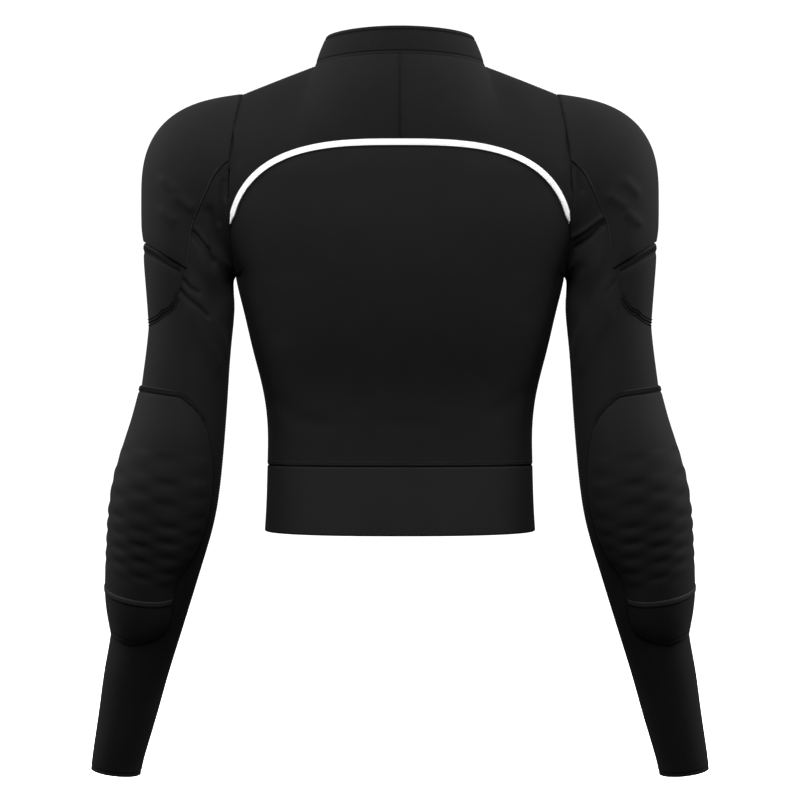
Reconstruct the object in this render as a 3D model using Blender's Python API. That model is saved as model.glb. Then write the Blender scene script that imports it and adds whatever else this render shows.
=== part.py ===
"""Padded compression shirt, cropped at the waist, with a stand collar and long padded sleeves.

The shirt is held as it is worn, hollow, with its arms a little away from the body.
Units are metres. +Z is up, +X is the wearer's left and +Y is the wearer's back.
The origin is the middle of the neck's base, level with the two sides of the neck seam.

The torso is one surface, torso(side, u, v), read by each panel that is cut from it:
u runs from the centre line (0) to the side seam and the armhole (1), and v runs from the
waistband seam (0) past the middle of the armhole (1) to the neck and shoulder seams (2).
Each sleeve is one surface, sleeve(around, station): around is 0 at the top and outer side
of the arm and a quarter turn at its back, and the stations run from the armhole to the cuff.
"""

import math
from collections import namedtuple

import bmesh
import bpy
import numpy as np

# Seams and walls
SEAM_GAP = 0.0003
CLOTH = 0.0016
BAND_CLOTH = 0.0022
COLLAR_CLOTH = 0.0024
PAD_LIFT = 0.0016
BACK = 1
FRONT = -1

# Torso
Section = namedtuple("Section", "height half_width back front")
TORSO_SECTIONS = (
    Section(-0.4158, 0.1215, 0.0850, 0.0930),
    Section(-0.400, 0.1205, 0.0830, 0.0920),
    Section(-0.356, 0.1190, 0.0775, 0.0890),
    Section(-0.325, 0.1188, 0.0755, 0.0885),
    Section(-0.290, 0.1230, 0.0780, 0.0925),
    Section(-0.254, 0.1320, 0.0860, 0.1010),
    Section(-0.218, 0.1405, 0.0935, 0.1090),
    Section(-0.188, 0.1475, 0.0980, 0.1120),
    Section(-0.150, 0.1500, 0.1010, 0.1105),
    Section(-0.1057, 0.1480, 0.1010, 0.1030),
)
HEM = TORSO_SECTIONS[0].height
WAIST_SEAM = -0.357
UNDERARM = -0.188
SQUARENESS = 2.4
HEM_DIP = 0.001

# Armhole
ArmholeLine = namedtuple("ArmholeLine", "height reach")
ARMHOLE_LINE = (
    ArmholeLine(-0.188, 0.1475),
    ArmholeLine(-0.157, 0.1500),
    ArmholeLine(-0.130, 0.1520),
    ArmholeLine(-0.1057, 0.1514),
)
SHOULDER_TIP = (0.1400, -0.0238)
ARMHOLE_MIDDLE = (UNDERARM + SHOULDER_TIP[1]) / 2
ARMHOLE_HALF = (SHOULDER_TIP[1] - UNDERARM) / 2
ARMHOLE_DEPTH = {BACK: 0.055, FRONT: 0.050}
QUARTER_ELLIPSE = 0.5523

# Neck seam and collar
NECK_HALF_WIDTH = 0.0760
NECK_DEPTH = {BACK: 0.0620, FRONT: 0.0700}
NECK_SIDE = 0.0020
NECK_RISE = {BACK: 0.0050, FRONT: -0.0440}
NECK_SHARE = 0.5
COLLAR_TOP_HALF_WIDTH = 0.0660
COLLAR_TOP_DEPTH = {BACK: 0.0545, FRONT: 0.0640}
COLLAR_TOP_RISE = {BACK: 0.0305, FRONT: -0.0140}
COLLAR_TOP_SIDE = 0.0280

# How the torso leaves its top edges: the direction down and away from the edge, and a length
TopEdge = namedtuple("TopEdge", "share out down length")
TOP_EDGES = {
    BACK: (
        TopEdge(0.00, 0.62, 0.78, 0.036),
        TopEdge(0.30, 0.80, 0.60, 0.038),
        TopEdge(0.50, 0.99, 0.12, 0.044),
        TopEdge(1.00, 1.00, 0.00, 0.0304),
    ),
    FRONT: (
        TopEdge(0.00, 0.55, 0.83, 0.022),
        TopEdge(0.30, 0.75, 0.66, 0.028),
        TopEdge(0.50, 0.98, 0.18, 0.044),
        TopEdge(1.00, 1.00, 0.00, 0.0276),
    ),
}
RISE_LENGTH = {"centre": 0.040, "armhole": QUARTER_ELLIPSE * ARMHOLE_HALF}

# Arched yoke seam on the back, which meets the armhole at a turn round it. The white tape over
# it stops at a u short of the armhole and narrows to a point over the last of it.
ARCH_HALF_WIDTH = 0.1515
ARCH_FOOT = -0.185
ARCH_CROWN = -0.0777
ARCH_POWER = 3.0
ARCH_TURN = 125.0
LOWEST_ARCH_TURN = 170.0
ARCH_HALVINGS = 40
TAPE_WIDTH = 0.0068
TAPE_THICKNESS = 0.0009
TAPE_END = 0.985
TAPE_TAPER = 0.03

# Sleeve: where the cap has turned down into the arm, and the rings below it
Ring = namedtuple("Ring", "x y z half_width half_depth tilt lean")
CAP_SQUARENESS = 2.9
CAP_SLOPE = 0.17
CAP_TUCK = 0.0022
SLEEVE_RINGS = (
    Ring(0.1882, 0.0000, -0.1614, 0.0581, 0.0455, 48.3, 0.0),
    Ring(0.1883, 0.0010, -0.2300, 0.0408, 0.0430, 26.5, 0.0),
    Ring(0.1933, 0.0040, -0.2900, 0.0388, 0.0425, 9.0, 0.0),
    Ring(0.1968, 0.0070, -0.3260, 0.0398, 0.0440, 6.0, -1.0),
    Ring(0.2042, 0.0080, -0.3640, 0.0438, 0.0460, 7.0, -4.0),
    Ring(0.2109, 0.0040, -0.4010, 0.0445, 0.0450, 8.0, -8.0),
    Ring(0.2179, -0.0040, -0.4380, 0.0407, 0.0420, 9.0, -11.0),
    Ring(0.2247, -0.0120, -0.4740, 0.0361, 0.0385, 10.0, -12.0),
    Ring(0.2313, -0.0210, -0.5100, 0.0312, 0.0350, 10.0, -12.0),
    Ring(0.2407, -0.0300, -0.5470, 0.0288, 0.0320, 10.0, -12.0),
    Ring(0.2490, -0.0370, -0.5840, 0.0264, 0.0292, 10.0, -11.0),
    Ring(0.2576, -0.0430, -0.6210, 0.0238, 0.0268, 9.0, -7.0),
    Ring(0.2610, -0.0460, -0.6400, 0.0229, 0.0258, 7.4, -2.0),
)
CUFF = len(SLEEVE_RINGS)

# Soft folds of the sleeve cloth, as ridges along straight lines on its surface
Fold = namedtuple("Fold", "around station to_around to_station height width")
FOLDS = (
    Fold(158, 0.15, 112, 1.05, 0.0030, 0.0075),
    Fold(175, 0.60, 128, 1.45, -0.0026, 0.0080),
    Fold(100, 1.55, 150, 2.10, 0.0022, 0.0070),
    Fold(98, 1.85, 140, 2.40, 0.0024, 0.0070),
    Fold(-150, 0.30, -112, 1.15, 0.0028, 0.0085),
    Fold(-120, 3.60, -60, 4.10, 0.0018, 0.0090),
    Fold(-125, 4.20, -65, 4.70, 0.0016, 0.0090),
)
STATION_LENGTH = 0.036
SLEEVE_RADIUS = 0.042

# Pads. Each row gives the turns of the pad's back and front edges at a station of the sleeve.
# A pad thins from its full thickness to its rim over the fade lengths at its ends and sides,
# and its cross lines rise towards its sides by the bow, in stations.
PadRow = namedtuple("PadRow", "station back front")
Pad = namedtuple("Pad", "rows rim full head_fade foot_fade side_fade bow")
SHOULDER_PAD = Pad(
    (
        PadRow(0.006, 77, -70),
        PadRow(0.30, 90, -84),
        PadRow(0.60, 93, -87),
        PadRow(1.00, 90, -86),
        PadRow(1.395, 85, -82),
    ),
    rim=0.0008,
    full=0.0042,
    head_fade=0.036,
    foot_fade=0.0,
    side_fade=0.020,
    bow=0.12,
)
ARM_PAD = Pad(
    (
        PadRow(1.410, 75, -72),
        PadRow(1.65, 74, -71),
        PadRow(1.90, 67, -64),
        PadRow(2.06, 55, -52),
        PadRow(2.17, 37, -34),
        PadRow(2.22, 12, -10),
    ),
    rim=0.0011,
    full=0.0034,
    head_fade=0.0,
    foot_fade=0.028,
    side_fade=0.016,
    bow=0.12,
)
ELBOW_PAD = Pad(
    (
        PadRow(2.94, 40, -30),
        PadRow(3.05, 87, -56),
        PadRow(3.30, 112, -64),
        PadRow(3.90, 137, -66),
        PadRow(5.00, 154, -56),
        PadRow(6.00, 158, -44),
        PadRow(6.70, 155, -38),
        PadRow(7.15, 138, -34),
        PadRow(7.60, 124, -30),
        PadRow(8.20, 130, -27),
        PadRow(8.75, 130, -22),
        PadRow(9.02, 104, -4),
        PadRow(9.10, 70, 24),
    ),
    rim=0.0012,
    full=0.0050,
    head_fade=0.050,
    foot_fade=0.018,
    side_fade=0.026,
    bow=0.0,
)

# Rounded cells pressed up through the elbow pad, in staggered rows
CELL_LENGTH = 0.013
CELL_WIDTH = 0.026
CELL_RISE = 0.0009
CELL_HEAD = 4.3
CELL_FOOT = 7.6
CELL_FADE = 0.5

# Grey tape across the elbow pad, from edge to edge but for a short share of the pad's width
STRIPE_STATION = 8.02
STRIPE_WIDTH = 0.0046
STRIPE_THICKNESS = 0.0005
STRIPE_BOW = 0.10
STRIPE_MARGIN = 0.03

# Mesh counts
TORSO_COLUMNS = 12
BACK_ROWS = 9
ARM_ROWS_ON_BACK = 3
YOKE_ROWS = 6
FRONT_LOW_ROWS = 6
FRONT_ARM_ROWS = 10
WAISTBAND_ROWS = 3
COLLAR_ROWS = 3
CAP_ROWS = 6
ARM_ROWS = 20
SHOULDER_HEAD_STATIONS = (0.006, 0.06, 0.15)
SHOULDER_EVEN_STATION = 0.30
SHOULDER_EVEN_ROWS = 8
WIDE_PAD_COLUMNS = 14
ARM_PAD_COLUMNS = 10
ELBOW_HEAD_STATION = 3.05
ELBOW_HEAD_ROWS = 2
ELBOW_CELLS_STATION = 3.10
ELBOW_FOOT_STATION = 8.80
ELBOW_FOOT_ROWS = 4
STRIPE_COLUMNS = 20
SHARP_ANGLE = 50

Finish = namedtuple("Finish", "colour roughness metallic")
FINISHES = {
    "black_cloth": Finish((0.017, 0.017, 0.018), 0.72, 0.0),
    "pad_cloth": Finish((0.014, 0.014, 0.015), 0.70, 0.0),
    "white_thread": Finish((0.86, 0.86, 0.86), 0.60, 0.0),
    "grey_tape": Finish((0.075, 0.075, 0.078), 0.45, 0.0),
}


def natural_spline(at, values):
    """A function that reads a natural cubic curve through the values (one row for each at)."""
    at, values = np.array(at, float), np.array(values, float)
    steps = np.diff(at)
    slopes = np.diff(values, axis=0) / steps[:, None]
    count = len(at)
    system = np.eye(count)
    wanted = np.zeros_like(values)
    for i in range(1, count - 1):
        system[i, i - 1 : i + 2] = steps[i - 1], 2 * (steps[i - 1] + steps[i]), steps[i]
        wanted[i] = 6 * (slopes[i] - slopes[i - 1])
    bends = np.linalg.solve(system, wanted)

    def read(x):
        i = int(np.clip(np.searchsorted(at, x) - 1, 0, count - 2))
        h, left, right = steps[i], at[i + 1] - x, x - at[i]
        curved = (bends[i] * left**3 + bends[i + 1] * right**3) / (6 * h)
        straight = (values[i] / h - bends[i] * h / 6) * left
        return curved + straight + (values[i + 1] / h - bends[i + 1] * h / 6) * right

    return read


section_at = natural_spline([s.height for s in TORSO_SECTIONS], [s[1:] for s in TORSO_SECTIONS])
reach_at = natural_spline([a.height for a in ARMHOLE_LINE], [a[1:] for a in ARMHOLE_LINE])
ring_at = natural_spline(range(1, CUFF + 1), SLEEVE_RINGS)


def power(value, exponent):
    """The value's size raised to the exponent, with its own sign."""
    return math.copysign(abs(value) ** exponent, value)


def low_torso(side, share, height):
    """A point of the torso at or below the middle of the armhole."""
    half_width, back, front = section_at(height)
    depth = back if side == BACK else front
    corner = 0.0
    if height > UNDERARM:
        turn = math.acos(np.clip((height - ARMHOLE_MIDDLE) / ARMHOLE_HALF, -1, 1))
        level = ARMHOLE_DEPTH[side] * math.sin(turn) / depth
        corner = math.asin(level ** (SQUARENESS / 2))
        half_width = reach_at(height)[0] / math.cos(corner) ** (2 / SQUARENESS)
    angle = math.pi / 2 + (corner - math.pi / 2) * share
    across = half_width * power(math.cos(angle), 2 / SQUARENESS)
    along = side * depth * power(math.sin(angle), 2 / SQUARENESS)
    return np.array((across, along, height))


def neck_point(angle, half_width, depth, side_rise, rise):
    """A point of a neck ring. The angle is 0 at the wearer's left and a quarter turn at the back."""
    side = BACK if math.sin(angle) >= 0 else FRONT
    lift = side_rise + (rise[side] - side_rise) * math.sin(angle) ** 2
    return np.array((half_width * math.cos(angle), depth[side] * math.sin(angle), lift))


def neck_seam(angle):
    """A point of the seam between the body and the collar."""
    return neck_point(angle, NECK_HALF_WIDTH, NECK_DEPTH, NECK_SIDE, NECK_RISE)


def collar_edge(angle):
    """A point of the collar's top edge."""
    return neck_point(angle, COLLAR_TOP_HALF_WIDTH, COLLAR_TOP_DEPTH, COLLAR_TOP_SIDE, COLLAR_TOP_RISE)


def top_edge(side, share):
    """A point of the torso's top edge: the neck seam, then the shoulder seam out to its tip."""
    if share <= NECK_SHARE:
        return neck_seam(side * (math.pi / 2) * (1 - share / NECK_SHARE))
    out = (share - NECK_SHARE) / (1 - NECK_SHARE)
    neck_side = neck_seam(0.0)
    tip = np.array((SHOULDER_TIP[0], 0.0, SHOULDER_TIP[1]))
    return neck_side + (tip - neck_side) * out


def high_torso(side, share, rise):
    """A point of the torso above the middle of the armhole, with rise from 0 to 1 at the top edge."""
    start = low_torso(side, share, ARMHOLE_MIDDLE)
    below = low_torso(side, share, ARMHOLE_MIDDLE - SEAM_GAP)
    upward = (start - below) / np.linalg.norm(start - below)
    end = top_edge(side, share)
    edges = TOP_EDGES[side]
    out, down, length = (np.interp(share, [e.share for e in edges], [e[k] for e in edges]) for k in (1, 2, 3))
    away = np.array((0.0, side * out, -down)) / math.hypot(out, down)
    lift = RISE_LENGTH["centre"] + (RISE_LENGTH["armhole"] - RISE_LENGTH["centre"]) * share
    handles = (start, start + upward * lift, end + away * length, end)
    weights = ((1 - rise) ** 3, 3 * rise * (1 - rise) ** 2, 3 * rise**2 * (1 - rise), rise**3)
    return sum(w * h for w, h in zip(weights, handles))


def torso(side, u, v):
    """A point of the torso's outer surface. A negative u is on the wearer's right."""
    if v <= 1:
        height = WAIST_SEAM + (ARMHOLE_MIDDLE - WAIST_SEAM) * v
        point = low_torso(side, abs(u), height)
    else:
        point = high_torso(side, abs(u), v - 1)
    point[0] = math.copysign(point[0], u)
    return point


def torso_out(side, u, v):
    """The direction straight out of the torso. At the side and shoulder seams it is sideways or up."""
    step = 0.004
    across = torso(side, min(1.0, u + step), v) - torso(side, max(-1.0, u - step), v)
    along = torso(side, u, min(2.0, v + step)) - torso(side, u, max(0.0, v - step))
    out = np.cross(along, across) * side
    if abs(torso(side, u, v)[1]) < SEAM_GAP:
        out[1] = 0.0
    return out / np.linalg.norm(out)


def level_of(height):
    """The v of a height at or below the middle of the armhole."""
    return (height - WAIST_SEAM) / (ARMHOLE_MIDDLE - WAIST_SEAM)


def armhole_level(turn):
    """The v at a turn round the armhole, in degrees: 0 at the shoulder tip and 180 at the underarm."""
    turn = abs(turn)
    if turn >= 90:
        return level_of(ARMHOLE_MIDDLE + ARMHOLE_HALF * math.cos(math.radians(turn)))
    return 2 - turn / 90


def arch_level(u):
    """The v at which the arched yoke seam crosses a column of the back."""
    low, high = armhole_level(LOWEST_ARCH_TURN), 2.0
    for _ in range(ARCH_HALVINGS):
        middle = (low + high) / 2
        point = torso(BACK, u, middle)
        share = min(1.0, abs(point[0]) / ARCH_HALF_WIDTH)
        seam = ARCH_FOOT + (ARCH_CROWN - ARCH_FOOT) * (1 - share**ARCH_POWER) ** (1 / ARCH_POWER)
        if point[2] < seam:
            low = middle
        else:
            high = middle
    return (low + high) / 2


def fold_height(around, station):
    """How far the sleeve's folds lift the cloth at a place on the sleeve."""
    here = np.array((math.radians(around) * SLEEVE_RADIUS, station * STATION_LENGTH))
    total = 0.0
    for fold in FOLDS:
        start = np.array((math.radians(fold.around) * SLEEVE_RADIUS, fold.station * STATION_LENGTH))
        end = np.array((math.radians(fold.to_around) * SLEEVE_RADIUS, fold.to_station * STATION_LENGTH))
        line = end - start
        share = float(np.dot(here - start, line) / np.dot(line, line))
        away = np.linalg.norm(here - start - np.clip(share, 0, 1) * line)
        total += fold.height * math.exp(-((away / fold.width) ** 2))
    return total


def arm_ring(around, station):
    """A point of the sleeve below its cap, at a station from 1 to CUFF."""
    x, y, z, half_width, half_depth, tilt, lean = ring_at(station)
    tilt, lean, angle = math.radians(tilt), math.radians(lean), math.radians(around)
    outward = np.array((math.cos(tilt), 0.0, math.sin(tilt)))
    backward = np.array((0.0, math.cos(lean), math.sin(lean)))
    return np.array((x, y, z)) + outward * half_width * math.cos(angle) + backward * half_depth * math.sin(angle)


def smooth_sleeve(around, station):
    """A point of the left sleeve's outer surface without its folds."""
    around = (around + 180) % 360 - 180
    if station >= 1:
        return arm_ring(around, station)
    side = BACK if around >= 0 else FRONT
    start = torso(side, 1.0, armhole_level(around)) + np.array((SEAM_GAP, 0.0, 0.0))
    to_middle = np.array((0.0, -start[1], ARMHOLE_MIDDLE - start[2]))
    start += to_middle / np.linalg.norm(to_middle) * CAP_TUCK * max(0.0, math.cos(math.radians(around)))
    across = arm_ring(around, 1.0) - start
    flat = np.array((across[0], across[1], -CAP_SLOPE * math.hypot(across[0], across[1])))
    flat[2] = max(flat[2], across[2])
    drop = np.array((0.0, 0.0, across[2] - flat[2]))
    angle = station * math.pi / 2
    out = math.sin(angle) ** (2 / CAP_SQUARENESS)
    down = 1 - max(0.0, math.cos(angle)) ** (2 / CAP_SQUARENESS)
    return start + flat * out + drop * down


def sleeve_out(around, station):
    """The direction straight out of the left sleeve's surface."""
    step_around, step_station = 1.5, 0.03
    low, high = max(0.0, station - step_station), min(float(CUFF), station + step_station)
    along = smooth_sleeve(around, high) - smooth_sleeve(around, low)
    across = smooth_sleeve(around + step_around, station) - smooth_sleeve(around - step_around, station)
    out = np.cross(along, across)
    return out / np.linalg.norm(out)


def sleeve(around, station, lift=0.0):
    """A point of the left sleeve's outer surface with its folds, moved out by the lift."""
    away = lift + fold_height((around + 180) % 360 - 180, station)
    return smooth_sleeve(around, station) + sleeve_out(around, station) * away


def outward_of(points):
    """Unit vectors out of a tube of points, whose rows run up and whose columns run round."""
    across = np.roll(points, -1, axis=1) - np.roll(points, 1, axis=1)
    out = np.cross(across, np.gradient(points, axis=0))
    return out / np.linalg.norm(out, axis=2, keepdims=True)


def drawn_in(points, rows=(0, 0), columns=(0, 0)):
    """The grid with half a seam gap taken off the edges marked 1: first and last row or column."""
    points = points.copy()
    for first, inner, wanted in ((0, 1, rows[0]), (-1, -2, rows[1])):
        step = points[inner] - points[first]
        points[first] += wanted * step / np.linalg.norm(step, axis=1, keepdims=True) * SEAM_GAP / 2
    for first, inner, wanted in ((0, 1, columns[0]), (-1, -2, columns[1])):
        step = points[:, inner] - points[:, first]
        size = np.maximum(np.linalg.norm(step, axis=1, keepdims=True), SEAM_GAP)
        points[:, first] += wanted * step / size * SEAM_GAP / 2
    return points


def material(name):
    """A cloth or thread material from its finish."""
    found = bpy.data.materials.get(name)
    if found:
        return found
    made = bpy.data.materials.new(name)
    made.use_nodes = True
    shader = made.node_tree.nodes["Principled BSDF"]
    finish = FINISHES[name]
    shader.inputs["Base Color"].default_value = (*finish.colour, 1.0)
    shader.inputs["Roughness"].default_value = finish.roughness
    shader.inputs["Metallic"].default_value = finish.metallic
    return made


def layer(bm, points, wraps, faces_out):
    """Adds one skin of a wall to the bmesh and returns its vertices as rows."""
    rows = [[bm.verts.new(point) for point in row] for row in points]
    count = len(rows[0])
    for low, high in zip(rows, rows[1:]):
        for i in range(count if wraps else count - 1):
            corners = [low[i], low[(i + 1) % count], high[(i + 1) % count], high[i]]
            bm.faces.new(corners if faces_out else corners[::-1])
    return rows


def edge_strip(bm, outer, inner):
    """Closes a wall between an edge of its outer skin and the same edge of its inner skin."""
    for (a, b), (c, d) in zip(zip(outer, outer[1:]), zip(inner, inner[1:])):
        bm.faces.new((b, a, c, d))


def wall(name, outside, inside, finish, wraps=False):
    """Makes a node: a closed wall between two grids of points, as a tube if it wraps."""
    bm = bmesh.new()
    outer = layer(bm, outside, wraps, True)
    inner = layer(bm, inside, wraps, False)
    closing = slice(0, 1) if wraps else slice(0, 0)
    edge_strip(bm, outer[0] + outer[0][closing], inner[0] + inner[0][closing])
    edge_strip(bm, (outer[-1] + outer[-1][closing])[::-1], (inner[-1] + inner[-1][closing])[::-1])
    if not wraps:
        edge_strip(bm, [row[-1] for row in outer], [row[-1] for row in inner])
        edge_strip(bm, [row[0] for row in outer][::-1], [row[0] for row in inner][::-1])
    bmesh.ops.recalc_face_normals(bm, faces=bm.faces)
    mesh = bpy.data.meshes.new(name)
    bm.to_mesh(mesh)
    bm.free()
    mesh.shade_smooth()
    mesh.set_sharp_from_angle(angle=math.radians(SHARP_ANGLE))
    mesh.materials.append(material(finish))
    made = bpy.data.objects.new(name, mesh)
    bpy.context.scene.collection.objects.link(made)
    return made


def torso_grids(side, places, rows, columns):
    """The outer and inner points of a torso panel from its grid of (u, v), drawn in at its seams."""
    outside = np.array([[torso(side, u, v) for u, v in row] for row in places])
    out = np.array([[torso_out(side, u, v) for u, v in row] for row in places])
    return drawn_in(outside, rows, columns), drawn_in(outside - out * CLOTH, rows, columns)


def band(name, points, thickness):
    """Makes a node from the outer points of a band that goes all round."""
    wall(name, points, points - outward_of(points) * thickness, "black_cloth", wraps=True)


def mirrored(points):
    """The grid for the wearer's right, with its columns turned round so that it still faces out."""
    return (points * np.array((-1.0, 1.0, 1.0)))[:, ::-1]


def both_sides(stem, outside, inside, finish, wraps=False):
    """Makes the wearer's left node and its mirror image on the right."""
    wall(stem + "_left", outside, inside, finish, wraps)
    wall(stem + "_right", mirrored(outside), mirrored(inside), finish, wraps)


def shares(first, last, steps):
    """Evenly spaced values from first to last, both included."""
    return [float(x) for x in np.linspace(first, last, steps + 1)]


def back_turns():
    """Turns round the back of the armhole from the underarm to the tip, with one at the yoke seam."""
    low = shares(180.0, ARCH_TURN, ARM_ROWS_ON_BACK)
    return low + shares(ARCH_TURN, 0.0, YOKE_ROWS)[1:]


def front_turns():
    """Turns round the front of the armhole from the underarm to the tip."""
    return shares(180.0, 0.0, FRONT_ARM_ROWS)


def make_back_panel():
    """The back below the arched seam, whose rows reach the side seam and then the armhole."""
    columns = shares(1.0, -1.0, 2 * TORSO_COLUMNS)
    side_levels = shares(0.0, armhole_level(180.0), BACK_ROWS - ARM_ROWS_ON_BACK)
    side_levels += [armhole_level(turn) for turn in back_turns()[1 : ARM_ROWS_ON_BACK + 1]]
    top = side_levels[-1]
    tops = [top if abs(u) == 1 else arch_level(u) for u in columns]
    places = [[(u, level * high / top) for u, high in zip(columns, tops)] for level in side_levels]
    wall("back_panel", *torso_grids(BACK, places, (1, 1), (1, 1)), "black_cloth")


def make_yokes():
    """The upper back, in a left and a right half joined down the centre back."""
    columns = shares(1.0, 0.0, TORSO_COLUMNS)
    side_levels = [armhole_level(turn) for turn in back_turns()[ARM_ROWS_ON_BACK:]]
    low = side_levels[0]
    lows = [low if u == 1 else arch_level(u) for u in columns]
    places = []
    for level in side_levels:
        rise = (level - low) / (2 - low)
        places.append([(u, start + (2 - start) * rise) for u, start in zip(columns, lows)])
    both_sides("yoke", *torso_grids(BACK, places, (1, 1), (1, 1)), "black_cloth")


def make_front_panel():
    """The whole front, from the waistband to the neck and shoulder seams."""
    columns = shares(-1.0, 1.0, 2 * TORSO_COLUMNS)
    levels = shares(0.0, armhole_level(180.0), FRONT_LOW_ROWS)
    levels += [armhole_level(turn) for turn in front_turns()[1:]]
    places = [[(u, level) for u in columns] for level in levels]
    wall("front_panel", *torso_grids(FRONT, places, (1, 1), (1, 1)), "black_cloth")


def make_waistband():
    """The deep band below the waist, one ring of doubled cloth that dips a little at the back."""
    columns = [(FRONT, u) for u in shares(-1.0, 1.0, 2 * TORSO_COLUMNS)[:-1]]
    columns += [(BACK, u) for u in shares(1.0, -1.0, 2 * TORSO_COLUMNS)[:-1]]
    rows = []
    for height in shares(HEM, WAIST_SEAM - SEAM_GAP / 2, WAISTBAND_ROWS):
        row = []
        for side, u in columns:
            point = low_torso(side, abs(u), height)
            point[0] = math.copysign(point[0], u)
            below = (WAIST_SEAM - height) / (WAIST_SEAM - HEM)
            point[2] -= HEM_DIP * below * max(0.0, side * math.cos(u * math.pi / 2))
            row.append(point)
        rows.append(row)
    band("waistband", np.array(rows), BAND_CLOTH)


def make_collar():
    """The stand collar, a band that leans in as it rises."""
    count = 4 * int(TORSO_COLUMNS * NECK_SHARE)
    angles = [2 * math.pi * i / count for i in range(count)]
    foot = np.array([neck_seam(angle) for angle in angles])
    edge = np.array([collar_edge(angle) for angle in angles])
    rise = edge - foot
    foot = foot + rise / np.linalg.norm(rise, axis=1, keepdims=True) * SEAM_GAP
    rows = [foot + (edge - foot) * share for share in shares(0.0, 1.0, COLLAR_ROWS)]
    band("collar", np.array(rows), COLLAR_CLOTH)


def make_yoke_seam_tape():
    """The white flatlock seam that lies over the join of the back and the yokes."""
    columns = shares(TAPE_END, -TAPE_END, 3 * TORSO_COLUMNS)
    line = np.array([torso(BACK, u, arch_level(u)) for u in columns])
    out = np.array([torso_out(BACK, u, arch_level(u)) for u in columns])
    along = np.gradient(line, axis=0)
    along /= np.linalg.norm(along, axis=1, keepdims=True)
    across = np.cross(out, along)
    half = np.array([TAPE_WIDTH / 2 * min(1.0, (1 - abs(u)) / TAPE_TAPER) for u in columns])[:, None]
    flat = np.array([line + across * half * share for share in (-1.0, 0.0, 1.0)])
    foot = flat + out * SEAM_GAP * 2
    wall("yoke_seam_tape", foot + out * TAPE_THICKNESS, foot, "white_thread")


def make_sleeves():
    """A sleeve for each arm: one tube from the armhole to the cuff."""
    turns = back_turns()[1:] + [-turn for turn in front_turns()[::-1][1:]]
    stations = shares(0.0, 1.0, CAP_ROWS) + shares(1.0, CUFF, ARM_ROWS)[1:]
    rows = [[sleeve(turn, station) for turn in turns] for station in stations[::-1]]
    rows_in = [[sleeve(turn, station, -CLOTH) for turn in turns] for station in stations[::-1]]
    both_sides("sleeve", np.array(rows), np.array(rows_in), "black_cloth", wraps=True)


def faded(distance, length):
    """How full a pad is at a distance from its edge, from 0 at the edge to 1 past the fade."""
    if length == 0:
        return 1.0
    return 1 - (1 - min(1.0, distance / length)) ** 2


def pad_spot(pad, across, station):
    """The turn, the station and the thickness at a place on a pad, with across from 0 to 1."""
    heads = [row.station for row in pad.rows]
    back = float(np.interp(station, heads, [row.back for row in pad.rows]))
    front = float(np.interp(station, heads, [row.front for row in pad.rows]))
    turn = back + (front - back) * across
    sideways = math.radians(min(turn - front, back - turn)) * SLEEVE_RADIUS
    full = faded(sideways, pad.side_fade)
    full *= faded((station - heads[0]) * STATION_LENGTH, pad.head_fade)
    full *= faded((heads[-1] - station) * STATION_LENGTH, pad.foot_fade)
    thickness = pad.rim + (pad.full - pad.rim) * full
    return turn, station - pad.bow * (turn / 90) ** 2, thickness


def cell_height(turn, station):
    """How far the rounded cells of the elbow pad rise at a place on the sleeve."""
    along = station * STATION_LENGTH / CELL_LENGTH
    across = math.radians(turn) * SLEEVE_RADIUS / CELL_WIDTH
    inside = min(station - CELL_HEAD, CELL_FOOT - station) / CELL_FADE
    return CELL_RISE * math.cos(2 * math.pi * along) * math.cos(2 * math.pi * across) * np.clip(inside, 0, 1)


def make_pad(stem, pad, columns, stations, cells=False):
    """A pad for each sleeve, lying on the sleeve cloth, with a row of points at each station."""
    outside, inside = [], []
    for station in stations[::-1]:
        row, row_in = [], []
        for across in shares(0.0, 1.0, columns):
            turn, place, thickness = pad_spot(pad, across, station)
            if cells:
                thickness += cell_height(turn, place)
            row.append(sleeve(turn, max(0.0, place), PAD_LIFT + thickness))
            row_in.append(sleeve(turn, max(0.0, place), PAD_LIFT))
        outside.append(row)
        inside.append(row_in)
    both_sides(stem, np.array(outside), np.array(inside), "pad_cloth")


def make_pads():
    """The shoulder pads, the rounded pads below them, and the elbow pads."""
    on_cap = shares(SHOULDER_EVEN_STATION, SHOULDER_PAD.rows[-1].station, SHOULDER_EVEN_ROWS)
    make_pad("shoulder_pad", SHOULDER_PAD, WIDE_PAD_COLUMNS, list(SHOULDER_HEAD_STATIONS) + on_cap)
    rounded = [row.station for row in ARM_PAD.rows]
    make_pad("arm_pad", ARM_PAD, ARM_PAD_COLUMNS, rounded)
    head = shares(ELBOW_PAD.rows[0].station, ELBOW_HEAD_STATION, ELBOW_HEAD_ROWS)
    half_cell = CELL_LENGTH / STATION_LENGTH / 2
    counts = range(math.ceil(ELBOW_CELLS_STATION / half_cell), int(ELBOW_FOOT_STATION / half_cell))
    cell_rows = [half_cell * count for count in counts]
    foot = shares(ELBOW_FOOT_STATION, ELBOW_PAD.rows[-1].station, ELBOW_FOOT_ROWS)
    make_pad("elbow_pad", ELBOW_PAD, WIDE_PAD_COLUMNS, head + cell_rows + foot, cells=True)


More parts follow.
